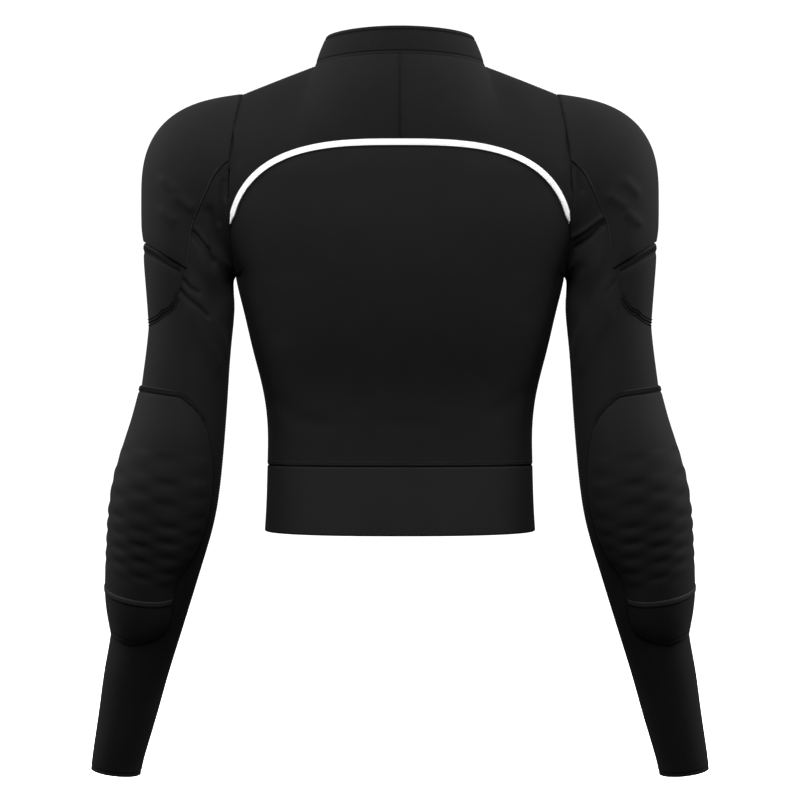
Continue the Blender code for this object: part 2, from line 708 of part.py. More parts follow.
def make_elbow_stripes():
    """The narrow grey tape that crosses each elbow pad near its foot."""
    half = STRIPE_WIDTH / 2 / STATION_LENGTH
    outside, inside = [], []
    for station in (STRIPE_STATION + half, STRIPE_STATION - half):
        row, row_in = [], []
        for across in shares(STRIPE_MARGIN, 1 - STRIPE_MARGIN, STRIPE_COLUMNS):
            turn, place, thickness = pad_spot(ELBOW_PAD, across, station)
            place -= STRIPE_BOW * (turn / 90) ** 2
            height = PAD_LIFT + thickness + SEAM_GAP * 2
            row.append(sleeve(turn, place, height + STRIPE_THICKNESS))
            row_in.append(sleeve(turn, place, height))
        outside.append(row)
        inside.append(row_in)
    both_sides("elbow_stripe", np.array(outside), np.array(inside), "grey_tape")


def main():
    """Clears the scene and makes every piece of the shirt."""
    for found in list(bpy.data.objects):
        bpy.data.objects.remove(found)
    make_back_panel()
    make_yokes()
    make_front_panel()
    make_waistband()
    make_collar()
    make_yoke_seam_tape()
    make_sleeves()
    make_pads()
    make_elbow_stripes()


if __name__ == "__main__":
    main()
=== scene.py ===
"""Looks of a padded compression shirt, shown from the back, filled out with no wearer.

Every cloth piece here is a finer shell on the same surface as its CAD solid, so the sizes of
the torso, the sleeves and the pads repeat those of the part. Units are metres, +Z is up, +X is
the wearer's left and +Y is the wearer's back. The origin is the middle of the neck's base.
"""

import logging
import math
from dataclasses import dataclass
from enum import Enum
from typing import Callable, NamedTuple, Sequence

import bmesh
import bpy
import numpy as np
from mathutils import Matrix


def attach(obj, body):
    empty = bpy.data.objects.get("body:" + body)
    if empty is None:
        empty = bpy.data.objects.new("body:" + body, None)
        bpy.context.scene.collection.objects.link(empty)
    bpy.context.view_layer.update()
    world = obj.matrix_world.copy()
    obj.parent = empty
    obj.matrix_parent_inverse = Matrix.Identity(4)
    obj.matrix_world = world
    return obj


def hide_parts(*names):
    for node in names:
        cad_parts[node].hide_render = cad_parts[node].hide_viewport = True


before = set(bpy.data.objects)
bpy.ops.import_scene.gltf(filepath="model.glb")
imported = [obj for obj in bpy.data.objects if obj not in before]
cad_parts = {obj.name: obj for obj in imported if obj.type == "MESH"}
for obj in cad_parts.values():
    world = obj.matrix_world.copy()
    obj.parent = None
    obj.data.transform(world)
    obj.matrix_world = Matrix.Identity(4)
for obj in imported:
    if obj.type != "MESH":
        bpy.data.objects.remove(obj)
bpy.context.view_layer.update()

Array = np.ndarray
Colour = tuple[float, float, float]
log = logging.getLogger("shirt")

# Sizes and counts that several parts share, in metres

CLOTH = 0.0016
SEAM_GAP = 0.0003
MERGE = 2e-6
TINY = 1e-12
FAR = 1.0
TOP = 2.0
SMOOTH_READS = 7
ARM_RADIUS = 0.042
STATION_LENGTH = 0.036
INSIDE = 0.0001
MILLIMETRES = 1000.0
FULLY_FACING = 0.3
SEAM_ROLLS = ((0.00045, 0.0016), (0.0005, 0.0006))
THREAD_STEPS = 5
THREAD_TIP = 0.55
NARROWEST = 0.05
EDGE_STEPS = 260
READ_ASIDE = 0.001


class Hand(Enum):
    """The wearer's two sides, as the sign of X."""

    LEFT = 1
    RIGHT = -1

    @property
    def word(self) -> str:
        """The side's name in a piece's name."""
        return self.name.lower()


class Face(Enum):
    """The back and the front of the wearer, as the sign of Y."""

    BACK = 1
    FRONT = -1


class Slot(Enum):
    """The record's material slots."""

    CLOTH = "black_cloth"
    PAD = "pad_cloth"
    WHITE = "white_thread"
    TAPE = "grey_tape"


# Curves and grids of points


class Curve:
    """A natural cubic curve through rows of numbers, read at many places at once."""

    def __init__(self, at: Sequence[float], rows: Sequence[Sequence[float]]) -> None:
        """Works out the curve.

        Args:
            at: Where each row stands, rising.
            rows: The numbers that the curve passes through.
        """
        self.at = np.array(at, float)
        self.rows = np.array(rows, float)
        self.steps = np.diff(self.at)
        slopes = np.diff(self.rows, axis=0) / self.steps[:, None]
        count = len(self.at)
        system = np.eye(count)
        wanted = np.zeros_like(self.rows)
        for i in range(1, count - 1):
            before, after = self.steps[i - 1], self.steps[i]
            system[i, i - 1 : i + 2] = before, 2 * (before + after), after
            wanted[i] = 6 * (slopes[i] - slopes[i - 1])
        self.bends = np.linalg.solve(system, wanted)

    def __call__(self, x: Array) -> Array:
        """Reads the curve.

        Args:
            x: Any shape of places.

        Returns:
            The numbers at each place, along a new last axis.
        """
        x = np.asarray(x, float)
        i = np.clip(np.searchsorted(self.at, x) - 1, 0, len(self.at) - 2)
        step = self.steps[i][..., None]
        left = (self.at[i + 1] - x)[..., None]
        right = (x - self.at[i])[..., None]
        curved = (self.bends[i] * left**3 + self.bends[i + 1] * right**3) / (6 * step)
        low = (self.rows[i] / step - self.bends[i] * step / 6) * left
        return curved + low + (self.rows[i + 1] / step - self.bends[i + 1] * step / 6) * right


def signed_power(value: Array, exponent: float) -> Array:
    """The value's size raised to the exponent, with its own sign."""
    return np.sign(value) * np.abs(value) ** exponent


def unit(vectors: Array) -> Array:
    """The vectors at length one."""
    return vectors / np.maximum(np.linalg.norm(vectors, axis=-1, keepdims=True), TINY)


def running_length(points: Array, axis: int) -> Array:
    """How far each point of a grid lies from the first one along a row (1) or a column (0)."""
    steps = np.linalg.norm(np.diff(points, axis=axis), axis=-1)
    first = np.zeros_like(np.take(steps, [0], axis=axis))
    return np.cumsum(np.concatenate((first, steps), axis=axis), axis=axis)


def grid_normals(points: Array, wraps: bool = False) -> Array:
    """Unit vectors out of a grid.

    Args:
        points: Rows that run up, and columns that run leftwards as seen from outside.
        wraps: Whether the last column lies on the first.

    Returns:
        One vector for each point.
    """
    across = np.gradient(points, axis=1)
    if wraps:
        across[:, 0] = across[:, -1] = points[:, 1] - points[:, -2]
    return unit(np.cross(across, np.gradient(points, axis=0)))


def closer_ends(first: float, last: float, count: int, ends: float = 0.7) -> Array:
    """Values from first to last that stand closer together near both ends.

    Args:
        first: The first value.
        last: The last value.
        count: How many steps there are.
        ends: 0 for even steps, up to 1 for the closest ends.

    Returns:
        count + 1 values.
    """
    even = np.linspace(0.0, 1.0, count + 1)
    eased = (1 - np.cos(math.pi * even)) / 2
    return first + (last - first) * (even * (1 - ends) + eased * ends)


def stepped(stops: Sequence[tuple[float, float]], last: float) -> Array:
    """Values that rise by a step of their own in each stretch.

    Args:
        stops: Where each stretch starts, and the step wanted in it.
        last: The end of the last stretch.

    Returns:
        The values, with every start and the end among them.
    """
    ends = [start for start, _ in stops[1:]] + [last]
    values = [
        np.linspace(start, end, max(1, round((end - start) / step)), endpoint=False)
        for (start, step), end in zip(stops, ends)
    ]
    return np.concatenate(values + [np.array([last])])


def smooth_rows(at: Array, stops: Array, values: Array, reach: float) -> Array:
    """Reads a table of values with its corners rounded off.

    Args:
        at: Where to read it.
        stops: The rising places of the table.
        values: The table's values.
        reach: How far each corner is rounded.

    Returns:
        A value for each place.
    """
    offsets = np.linspace(-reach, reach, SMOOTH_READS)
    return np.mean([np.interp(at + offset, stops, values) for offset in offsets], axis=0)


class Crease(NamedTuple):
    """A soft ridge along a line of x and z, or a trough if its height is below zero, in millimetres."""

    line: tuple[tuple[float, float], ...]
    height: float
    width: float
    face: Face = Face.BACK


def creased(points: Array, normals: Array, creases: Sequence[Crease]) -> Array:
    """Presses creases into a grid of points.

    Args:
        points: The grid.
        normals: The unit vectors out of it.
        creases: The ridges and troughs, each on the back or on the front.

    Returns:
        The moved points.
    """
    flat = points[..., (0, 2)]
    lift = np.zeros(points.shape[:-1])
    for crease in creases:
        away = np.full(lift.shape, FAR)
        line = np.array(crease.line) / MILLIMETRES
        for start, end in zip(line, line[1:]):
            along = end - start
            share = np.clip((flat - start) @ along / (along @ along), 0, 1)
            nearest = start + share[..., None] * along
            away = np.minimum(away, np.linalg.norm(flat - nearest, axis=-1))
        facing = np.clip(normals[..., 1] * crease.face.value / FULLY_FACING, 0, 1)
        lift += crease.height * np.exp(-((away * MILLIMETRES / crease.width) ** 2)) * facing
    return points + normals * lift[..., None] / MILLIMETRES


def tucked(points: Array, columns: tuple[bool, bool] = (True, True)) -> Array:
    """Rolls the edges of a panel into its seams.

    Args:
        points: The grid, whose first and last row are seams.
        columns: Whether the first and the last column are seams.

    Returns:
        The moved points.
    """
    lift = np.zeros(points.shape[:-1])
    for axis, wanted in ((0, (True, True)), (1, columns)):
        length = running_length(points, axis)
        whole = np.take(length, [-1], axis=axis)
        for away, is_seam in ((length, wanted[0]), (whole - length, wanted[1])):
            for depth, reach in SEAM_ROLLS if is_seam else ():
                lift -= depth * np.exp(-((away / reach) ** 2))
    return points + grid_normals(points) * lift[..., None]


def shown(name: str, mesh: bpy.types.Mesh) -> bpy.types.Object:
    """Makes a mesh smooth and links it to the scene as a piece."""
    mesh.shade_smooth()
    piece = bpy.data.objects.new(name, mesh)
    bpy.context.scene.collection.objects.link(piece)
    return piece


def as_mesh(name: str, bm: bmesh.types.BMesh) -> bpy.types.Mesh:
    """Writes a bmesh into a new mesh and frees it."""
    mesh = bpy.data.meshes.new(name)
    bm.to_mesh(mesh)
    bm.free()
    return mesh


def map_lengths(mesh: bpy.types.Mesh, places: Array) -> None:
    """Gives a mesh the map "knit" of one place for each of its points."""
    corners = np.empty(len(mesh.loops), np.int32)
    mesh.loops.foreach_get("vertex_index", corners)
    layer = mesh.uv_layers.new(name="knit")
    layer.data.foreach_set("uv", places[corners].astype(np.float32).ravel())


def merged(mesh: bpy.types.Mesh, closed: bool) -> None:
    """Merges the doubles of a mesh, and turns a closed one's faces out."""
    bm = bmesh.new()
    bm.from_mesh(mesh)
    bmesh.ops.remove_doubles(bm, verts=bm.verts, dist=MERGE)
    if closed:
        bmesh.ops.recalc_face_normals(bm, faces=bm.faces)
    bm.to_mesh(mesh)
    bm.free()


def bent_grid(name: str, points: Array, closed: bool = False) -> bpy.types.Object:
    """Makes a piece by bending a flat grid onto points, with a map of its lengths in metres.

    Args:
        name: The piece's name.
        points: Rows that run up, and columns that run leftwards as seen from outside.
        closed: Whether the grid's edges meet all round.

    Returns:
        The piece, whose map "knit" runs across from its middle column and up from its first row.
    """
    rows, columns = points.shape[:2]
    bm = bmesh.new()
    bmesh.ops.create_grid(bm, x_segments=columns - 1, y_segments=rows - 1, size=0.5)
    mesh = as_mesh(name, bm)
    flat = np.empty(len(mesh.vertices) * 3, np.float32)
    mesh.vertices.foreach_get("co", flat)
    column = np.rint((flat[0::3] + 0.5) * (columns - 1)).astype(int)
    row = np.rint((flat[1::3] + 0.5) * (rows - 1)).astype(int)
    mesh.vertices.foreach_set("co", points[row, column].astype(np.float32).ravel())
    across = running_length(points, 1)
    across = across - across[:, [columns // 2]]
    along = np.broadcast_to(running_length(points, 0)[:, [columns // 2]], across.shape)
    map_lengths(mesh, np.stack((across[row, column], along[row, column]), axis=-1))
    merged(mesh, closed)
    return shown(name, mesh)


def with_wall(piece: bpy.types.Object, thickness: float) -> bpy.types.Object:
    """Gives a piece a wall inwards from its surface, and returns it."""
    wall = piece.modifiers.new("wall", "SOLIDIFY")
    wall.thickness = thickness
    wall.offset = -1.0
    wall.use_even_offset = False
    return piece


def handed(points: Array, hand: Hand) -> Array:
    """The grid of the left side, or its mirror image with its columns turned round."""
    return points if hand is Hand.LEFT else (points * np.array((-1.0, 1.0, 1.0)))[:, ::-1]


def join_as(name: str, pieces: Sequence[bpy.types.Object], closed: bool = False) -> bpy.types.Object:
    """Makes one piece of several and merges the points that they share.

    Args:
        name: The name of the piece made.
        pieces: The pieces, which are removed.
        closed: Whether they close into one body.

    Returns:
        The piece.
    """
    bm = bmesh.new()
    for piece in pieces:
        bm.from_mesh(piece.data)
    mesh = as_mesh(name, bm)
    for piece in pieces:
        bpy.data.objects.remove(piece)
    merged(mesh, closed)
    return shown(name, mesh)


# Finishes


class Shading:
    """A material whose nodes are added and joined by short calls."""

    def __init__(self, name: str) -> None:
        """Starts a material with a Principled shader."""
        self.material = bpy.data.materials.new(name)
        self.material.use_nodes = True
        self.tree = self.material.node_tree
        self.shader = self.tree.nodes["Principled BSDF"]

    def node(self, kind: str, inputs: dict, **settings: object) -> bpy.types.Node:
        """Adds a node.

        Args:
            kind: The node's type.
            inputs: Values or sockets for its inputs.
            settings: Its other properties.

        Returns:
            The node.
        """
        made = self.tree.nodes.new(kind)
        for key, value in settings.items():
            setattr(made, key, value)
        for key, value in inputs.items():
            if isinstance(value, bpy.types.NodeSocket):
                self.tree.links.new(value, made.inputs[key])
            else:
                made.inputs[key].default_value = value
        return made

    def maths(self, operation: str, *values: object) -> bpy.types.NodeSocket:
        """The result of a Math node on up to three values or sockets."""
        return self.node("ShaderNodeMath", dict(enumerate(values)), operation=operation).outputs[0]

    def flat_place(self) -> bpy.types.NodeSocketCollection:
        """Lengths across and along the cloth in metres, from the piece's own map."""
        flat = self.node("ShaderNodeUVMap", {}, uv_map="knit").outputs[0]
        return self.node("ShaderNodeSeparateXYZ", {0: flat}).outputs

    def noise(self, scale: float, detail: float = 3.0) -> bpy.types.NodeSocket:
        """A noise from 0 to 1 at each place on the piece."""
        place = self.node("ShaderNodeTexCoord", {}).outputs["Object"]
        noise = self.node("ShaderNodeTexNoise", {"Vector": place, "Scale": scale, "Detail": detail})
        return noise.outputs["Fac"]

    def shaded(self, colour: Colour, by: bpy.types.NodeSocket, tones: tuple[float, float]) -> None:
        """Gives the shader a colour, times one tone to the other as a value runs from 0 to 1."""
        ramp = self.node("ShaderNodeMapRange", {"Value": by, "To Min": tones[0], "To Max": tones[1]})
        scaled = {0: colour, "Scale": ramp.outputs[0]}
        mixed = self.node("ShaderNodeVectorMath", scaled, operation="SCALE")
        self.tree.links.new(mixed.outputs[0], self.shader.inputs["Base Color"])

    def bumped(self, height: bpy.types.NodeSocket, distance: float, strength: float) -> None:
        """Gives the shader a bump of this height in metres."""
        inputs = {"Height": height, "Distance": distance, "Strength": strength}
        bump = self.node("ShaderNodeBump", inputs)
        self.tree.links.new(bump.outputs[0], self.shader.inputs["Normal"])

    def set(self, **values: float) -> None:
        """Sets numbers on the shader's own sockets, with _ for a space in their names."""
        for key, value in values.items():
            self.shader.inputs[key.replace("_", " ")].default_value = value


@dataclass(frozen=True)
class KnitFinish:
    """A fine stretch knit: columns of small V-shaped loops, matte, with a soft nap."""

    name: str
    colour: Colour
    roughness: float = 0.86
    nap: float = 0.012
    nap_roughness: float = 0.45
    shine: float = 0.03
    column: float = 0.0007
    course: float = 0.0006
    depth: float = 0.00005
    relief: float = 0.6
    slant: float = 0.6
    loop: float = 0.3
    cloud_scale: float = 38.0
    cloud_share: float = 0.55
    grain_scale: float = 900.0
    grain_share: float = 0.45
    groove_shade_share: float = 0.12
    tones: tuple[float, float] = (0.78, 1.22)

    def material(self) -> bpy.types.Material:
        """Builds the knit on the piece's own map of lengths.

        Returns:
            The material.
        """
        look = Shading(self.name)
        across, along, _ = look.flat_place()
        columns = look.maths("DIVIDE", across, self.column)
        rise = look.maths("MULTIPLY", look.maths("PINGPONG", columns, 0.5), 2.0)
        courses = look.maths("DIVIDE", along, self.course)
        slant = look.maths("MULTIPLY_ADD", rise, self.slant, courses)
        loops = look.maths("SINE", look.maths("MULTIPLY", slant, 2 * math.pi))
        height = look.maths("MULTIPLY_ADD", loops, self.loop, rise)
        grain = look.maths("MULTIPLY", look.noise(self.grain_scale, 1.0), self.grain_share)
        tone = look.maths("MULTIPLY_ADD", look.noise(self.cloud_scale), self.cloud_share, grain)
        # Painted shade: the colour darkens in the grooves between the loop columns, on top of the random
        # cloud and grain.
        tone = look.maths("MULTIPLY_ADD", rise, self.groove_shade_share, tone)
        look.shaded(self.colour, tone, self.tones)
        look.bumped(height, self.depth, self.relief)
        look.set(Roughness=self.roughness, Specular_IOR_Level=self.shine)
        look.set(Sheen_Weight=self.nap, Sheen_Roughness=self.nap_roughness)
        return look.material


@dataclass(frozen=True)
class ThreadFinish:
    """A twisted sewing thread."""

    name: str
    colour: Colour
    roughness: float = 0.55
    shine: float = 0.15
    ply: float = 0.0009
    depth: float = 0.00006
    relief: float = 0.7
    tones: tuple[float, float] = (0.86, 1.0)

    def material(self) -> bpy.types.Material:
        """Builds the twist as slanted lines round the thread.

        Returns:
            The material.
        """
        look = Shading(self.name)
        around, length, _ = look.flat_place()
        along = look.maths("DIVIDE", length, self.ply)
        twist = look.maths("MULTIPLY", look.maths("ADD", along, around), 2 * math.pi)
        ridge = look.maths("MULTIPLY_ADD", look.maths("SINE", twist), 0.5, 0.5)
        # Painted shade: the thread is darker in the grooves of its twist.
        look.shaded(self.colour, ridge, self.tones)
        look.bumped(ridge, self.depth, self.relief)
        look.set(Roughness=self.roughness, Sheen_Weight=self.shine / 5, Specular_IOR_Level=self.shine)
        return look.material


@dataclass(frozen=True)
class TapeFinish:
    """A narrow satin tape with fine cross ribs."""

    name: str
    colour: Colour
    rib: float = 0.00045
    roughness: float = 0.6
    shine: float = 0.05
    depth: float = 0.00004
    relief: float = 0.5
    rib_shade_share: float = 0.4
    cloud_scale: float = 120.0
    cloud_share: float = 0.6
    tones: tuple[float, float] = (0.8, 1.2)

    def material(self) -> bpy.types.Material:
        """Builds ribs across the tape.

        Returns:
            The material.
        """
        look = Shading(self.name)
        across = look.flat_place()[0]
        ribs = look.maths("SINE", look.maths("MULTIPLY", across, 2 * math.pi / self.rib))
        height = look.maths("MULTIPLY_ADD", ribs, 0.5, 0.5)
        cloudy = look.maths("MULTIPLY", look.noise(self.cloud_scale), self.cloud_share)
        # Painted shade: the tape is darker between its ribs, on top of a random cloud.
        tone = look.maths("MULTIPLY_ADD", height, self.rib_shade_share, cloudy)
        look.shaded(self.colour, tone, self.tones)
        look.bumped(height, self.depth, self.relief)
        look.set(Roughness=self.roughness, Specular_IOR_Level=self.shine)
        return look.material


@dataclass(frozen=True)
class Wardrobe:
    """The finishes of the shirt."""

    cloth: KnitFinish = KnitFinish("black_knit", (0.0066, 0.0066, 0.0068))
    # yoke_knit is the black cloth made darker: painted shade that evens out the key light's stronger fall
    # on the yokes and the collar.
    yoke: KnitFinish = KnitFinish("yoke_knit", (0.0043, 0.0043, 0.0045))
    pad: KnitFinish = KnitFinish("pad_knit", (0.0064, 0.0064, 0.0066), 0.84, column=0.0008)
    elbow: KnitFinish = KnitFinish("elbow_knit", (0.0076, 0.0076, 0.0078), 0.84, column=0.0008)
    band: KnitFinish = KnitFinish("band_knit", (0.0088, 0.0088, 0.0090), column=0.0012, course=0.0007)
    # black_thread_painted_highlight is a lighter copy of the black thread: partly the thread's own sheen,
    # partly a painted highlight along the waist seam and the shoulder pad seams.
    black: ThreadFinish = ThreadFinish("black_thread_painted_highlight", (0.0135, 0.0135, 0.0140))
    dull: ThreadFinish = ThreadFinish("dull_black_thread", (0.0048, 0.0048, 0.0049), 0.8, 0.03)
    # black_thread_painted_shade is a darker, shineless copy of the black thread: painted shade that draws
    # dark stitch lines at the collar, the elbow pad and the arm pad.
    flat: ThreadFinish = ThreadFinish("black_thread_painted_shade", (0.0022, 0.0022, 0.0023), 0.9, 0.01)
    white: ThreadFinish = ThreadFinish("white_sewing_thread", (0.86, 0.86, 0.86), 0.6)
    # white_thread_bed_painted_shade is white thread coloured grey: painted shade in the bed between the
    # white cover threads.
    bed: ThreadFinish = ThreadFinish("white_thread_bed_painted_shade", (0.42, 0.42, 0.42), 0.8)
    tape: TapeFinish = TapeFinish("grey_satin_tape", (0.0135, 0.0135, 0.0140))


class Dresser:
    """Gives pieces their finish and the body that they ride on."""

    def __init__(self, finishes: Wardrobe) -> None:
        """Keeps the finishes and makes each material once."""
        self.finishes = finishes
        self.made: dict[str, bpy.types.Material] = {}

    def dress(
        self, piece: bpy.types.Object, finish: str, slot: Slot, nodes: Sequence[str] = ()
    ) -> bpy.types.Object:
        """Finishes a piece.

        Args:
            piece: The piece.
            finish: The name of a finish in the wardrobe.
            slot: The record's slot that the finish belongs to. It is not used.
            nodes: The CAD nodes that the piece stands for.

        Returns:
            The piece.
        """
        if finish not in self.made:
            self.made[finish] = getattr(self.finishes, finish).material()
        piece.data.materials.clear()
        piece.data.materials.append(self.made[finish])
        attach(piece, "root")
        if nodes:
            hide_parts(*nodes)
        log.info("%s: %d faces", piece.name, len(piece.data.polygons))
        return piece


# Forms


class Section(NamedTuple):
    """A level section of the torso."""

    height: float
    half_width: float
    back: float
    front: float


class TopEdge(NamedTuple):
    """How the torso leaves its top edge: the way out and down, and a length."""

    share: float
    out: float
    down: float
    length: float


@dataclass
class TorsoForm:
    """The torso's surface, with u from the centre line to the side and v from the waist to the top."""

    sections: tuple[Section, ...] = (
        Section(-0.4158, 0.1215, 0.0850, 0.0930),
        Section(-0.400, 0.1205, 0.0830, 0.0920),
        Section(-0.356, 0.1190, 0.0775, 0.0890),
        Section(-0.325, 0.1188, 0.0755, 0.0885),
        Section(-0.290, 0.1230, 0.0780, 0.0925),
        Section(-0.254, 0.1320, 0.0860, 0.1010),
        Section(-0.218, 0.1405, 0.0935, 0.1090),
        Section(-0.188, 0.1475, 0.0980, 0.1120),
        Section(-0.150, 0.1500, 0.1010, 0.1105),
        Section(-0.1057, 0.1480, 0.1010, 0.1030),
    )
    armhole_line: tuple[tuple[float, float], ...] = (
        (-0.188, 0.1475),
        (-0.157, 0.1500),
        (-0.130, 0.1520),
        (-0.1057, 0.1514),
    )
    waist_seam: float = -0.357
    underarm: float = -0.188
    squareness: float = 2.4
    shoulder_tip: tuple[float, float] = (0.1400, -0.0238)
    armhole_depth: tuple[float, float] = (0.055, 0.050)
    neck_half_width: float = 0.0760
    neck_depth: tuple[float, float] = (0.0620, 0.0700)
    neck_side: float = 0.0020
    neck_rise: tuple[float, float] = (0.0050, -0.0440)
    neck_share: float = 0.5
    collar_half_width: float = 0.0660
    collar_depth: tuple[float, float] = (0.0545, 0.0640)
    collar_rise: tuple[float, float] = (0.0305, -0.0140)
    collar_side: float = 0.0280
    back_edges: tuple[TopEdge, ...] = (
        TopEdge(0.00, 0.62, 0.78, 0.036),
        TopEdge(0.30, 0.80, 0.60, 0.038),
        TopEdge(0.50, 0.99, 0.12, 0.044),
        TopEdge(1.00, 1.00, 0.00, 0.0304),
    )
    front_edges: tuple[TopEdge, ...] = (
        TopEdge(0.00, 0.55, 0.83, 0.022),
        TopEdge(0.30, 0.75, 0.66, 0.028),
        TopEdge(0.50, 0.98, 0.18, 0.044),
        TopEdge(1.00, 1.00, 0.00, 0.0276),
    )
    centre_rise: float = 0.040
    corner_reach: float = 0.13
    quarter_ellipse: float = 0.5523
    arch_half_width: float = 0.1515
    arch_foot: float = -0.192
    arch_crown: float = -0.0772
    arch_power: float = 3.1
    arch_start: float = 170.0
    arch_halvings: int = 40
    edge_reach: float = 0.26
    probe: float = 0.004

    def __post_init__(self) -> None:
        """Fits the curves through the tables."""
        self.section_at = Curve([s.height for s in self.sections], [s[1:] for s in self.sections])
        self.reach_at = Curve([a[0] for a in self.armhole_line], [a[1:] for a in self.armhole_line])
        self.middle = (self.underarm + self.shoulder_tip[1]) / 2
        self.half = (self.shoulder_tip[1] - self.underarm) / 2

    def low(self, face: Face, share: Array, height: Array) -> Array:
        """Points at or below the middle of the armhole."""
        half_width, back, front = np.moveaxis(self.section_at(height), -1, 0)
        depth = back if face is Face.BACK else front
        turn = np.arccos(np.clip((height - self.middle) / self.half, -1, 1))
        level = self.armhole_depth[face is Face.FRONT] * np.sin(turn) / depth
        above = height > self.underarm
        corner = np.where(above, np.arcsin(np.clip(level, 0, 1) ** (self.squareness / 2)), 0.0)
        reach = self.reach_at(height)[..., 0] / np.cos(corner) ** (2 / self.squareness)
        half_width = np.where(above, reach, half_width)
        angle = math.pi / 2 + (corner - math.pi / 2) * share
        across = half_width * signed_power(np.cos(angle), 2 / self.squareness)
        along = face.value * depth * signed_power(np.sin(angle), 2 / self.squareness)
        return np.stack((across, along, height + 0 * across), axis=-1)

    def ring(
        self,
        angle: Array,
        half_width: float,
        depth: tuple[float, float],
        side_rise: float,
        rise: tuple[float, float],
    ) -> Array:
        """Points of a neck ring at angles from the wearer's left, a quarter turn being the back."""
        at_back = np.sin(angle) >= 0
        lift = side_rise + (np.where(at_back, rise[0], rise[1]) - side_rise) * np.sin(angle) ** 2
        along = np.where(at_back, depth[0], depth[1]) * np.sin(angle)
        return np.stack((half_width * np.cos(angle), along, lift), axis=-1)

    def neck_seam(self, angle: Array) -> Array:
        """Points of the seam between the body and the collar."""
        return self.ring(angle, self.neck_half_width, self.neck_depth, self.neck_side, self.neck_rise)

    def collar_edge(self, angle: Array) -> Array:
        """Points of the collar's top edge."""
        half_width, depth = self.collar_half_width, self.collar_depth
        return self.ring(angle, half_width, depth, self.collar_side, self.collar_rise)

    def top_edge(self, face: Face, share: Array) -> Array:
        """Points of the top edge: the neck seam, then the shoulder seam out to its tip."""
        neck = self.neck_seam(face.value * math.pi / 2 * (1 - np.minimum(share / self.neck_share, 1.0)))
        out = np.clip((share - self.neck_share) / (1 - self.neck_share), 0, 1)[..., None]
        side = self.neck_seam(np.array(0.0))
        tip = np.array((self.shoulder_tip[0], 0.0, self.shoulder_tip[1]))
        return np.where(share[..., None] <= self.neck_share, neck, side + (tip - side) * out)

    def high(self, face: Face, share: Array, rise: Array) -> Array:
        """Points above the middle of the armhole, with rise from 0 to 1 at the top edge."""
        start = self.low(face, share, np.full(share.shape, self.middle))
        below = self.low(face, share, np.full(share.shape, self.middle - SEAM_GAP))
        end = self.top_edge(face, share)
        edges = self.back_edges if face is Face.BACK else self.front_edges
        stops, *columns = np.array(edges).T
        out, down, length = (smooth_rows(share, stops, column, self.edge_reach) for column in columns)
        away = np.stack((0 * out, face.value * out, -down), axis=-1) / np.hypot(out, down)[..., None]
        lift = self.centre_rise + (self.quarter_ellipse * self.half - self.centre_rise) * share
        sides = np.linspace(-self.corner_reach, self.corner_reach, SMOOTH_READS)
        near = [self.top_edge(face, np.clip(share + side, 0.0, 1.0)) for side in sides]
        rounded = np.mean(near, axis=0)
        rounded = end + (rounded - end) * (4 * share * (1 - share))[..., None]
        leaving = start + unit(start - below) * lift[..., None]
        handles = (start, leaving, rounded + away * length[..., None], end)
        weights = ((1 - rise) ** 3, 3 * rise * (1 - rise) ** 2, 3 * rise**2 * (1 - rise), rise**3)
        return sum(weight[..., None] * handle for weight, handle in zip(weights, handles))

    def point(self, face: Face, u: Array, v: Array) -> Array:
        """Points of the outer surface.

        Args:
            face: The back or the front.
            u: From 0 at the centre to 1 at the side, below zero on the wearer's right.
            v: From 0 at the waist seam past 1 at the armhole's middle to 2 at the top edge.

        Returns:
            A point for each pair of values.
        """
        u, v = np.broadcast_arrays(np.asarray(u, float), np.asarray(v, float))
        height = self.waist_seam + (self.middle - self.waist_seam) * np.minimum(v, 1.0)
        low = self.low(face, np.abs(u), height)
        high = self.high(face, np.abs(u), np.clip(v - 1, 0, 1))
        found = np.where(v[..., None] <= 1, low, high)
        found[..., 0] = np.copysign(found[..., 0], u)
        return found

    def out(self, face: Face, u: Array, v: Array) -> Array:
        """Unit vectors straight out of the torso."""
        left, right = np.minimum(u + self.probe, 1.0), np.maximum(u - self.probe, -1.0)
        high, low = np.minimum(v + self.probe, TOP), np.maximum(v - self.probe, 0.0)
        across = self.point(face, left, v) - self.point(face, right, v)
        along = self.point(face, u, high) - self.point(face, u, low)
        return unit(np.cross(along, across) * face.value)

    def armhole_level(self, turn: Array) -> Array:
        """The v at a turn round the armhole in degrees: 0 at the shoulder tip, 180 at the underarm."""
        turn = np.abs(np.asarray(turn, float))
        height = self.middle + self.half * np.cos(np.radians(turn))
        low = (height - self.waist_seam) / (self.middle - self.waist_seam)
        return np.where(turn >= 90, low, TOP - turn / 90)

    def arch_level(self, u: Array) -> Array:
        """The v at which the arched yoke seam crosses each column of the back."""
        low = np.full(u.shape, float(self.armhole_level(self.arch_start)))
        high = np.full(u.shape, TOP)
        for _ in range(self.arch_halvings):
            middle = (low + high) / 2
            point = self.point(Face.BACK, u, middle)
            share = np.minimum(1.0, np.abs(point[..., 0]) / self.arch_half_width)
            arch = (1 - share**self.arch_power) ** (1 / self.arch_power)
            seam = self.arch_foot + (self.arch_crown - self.arch_foot) * arch
            under = point[..., 2] < seam
            low, high = np.where(under, middle, low), np.where(under, high, middle)
        return (low + high) / 2


class Ring(NamedTuple):
    """A ring of the sleeve: its middle, its half sizes, and how far it tilts and leans in degrees."""

    x: float
    y: float
    z: float
    half_width: float
    half_depth: float
    tilt: float
    lean: float


class Fold(NamedTuple):
    """A broad soft ridge of the sleeve from one turn and station to another."""

    around: float
    station: float
    to_around: float
    to_station: float
    height: float
    width: float


def laid_flat(turn: Array | float, station: Array | float) -> Array:
    """Turns and stations of the sleeve as lengths round it and along it, in metres."""
    return np.stack(
        np.broadcast_arrays(np.radians(turn) * ARM_RADIUS, np.multiply(station, STATION_LENGTH)), axis=-1
    )


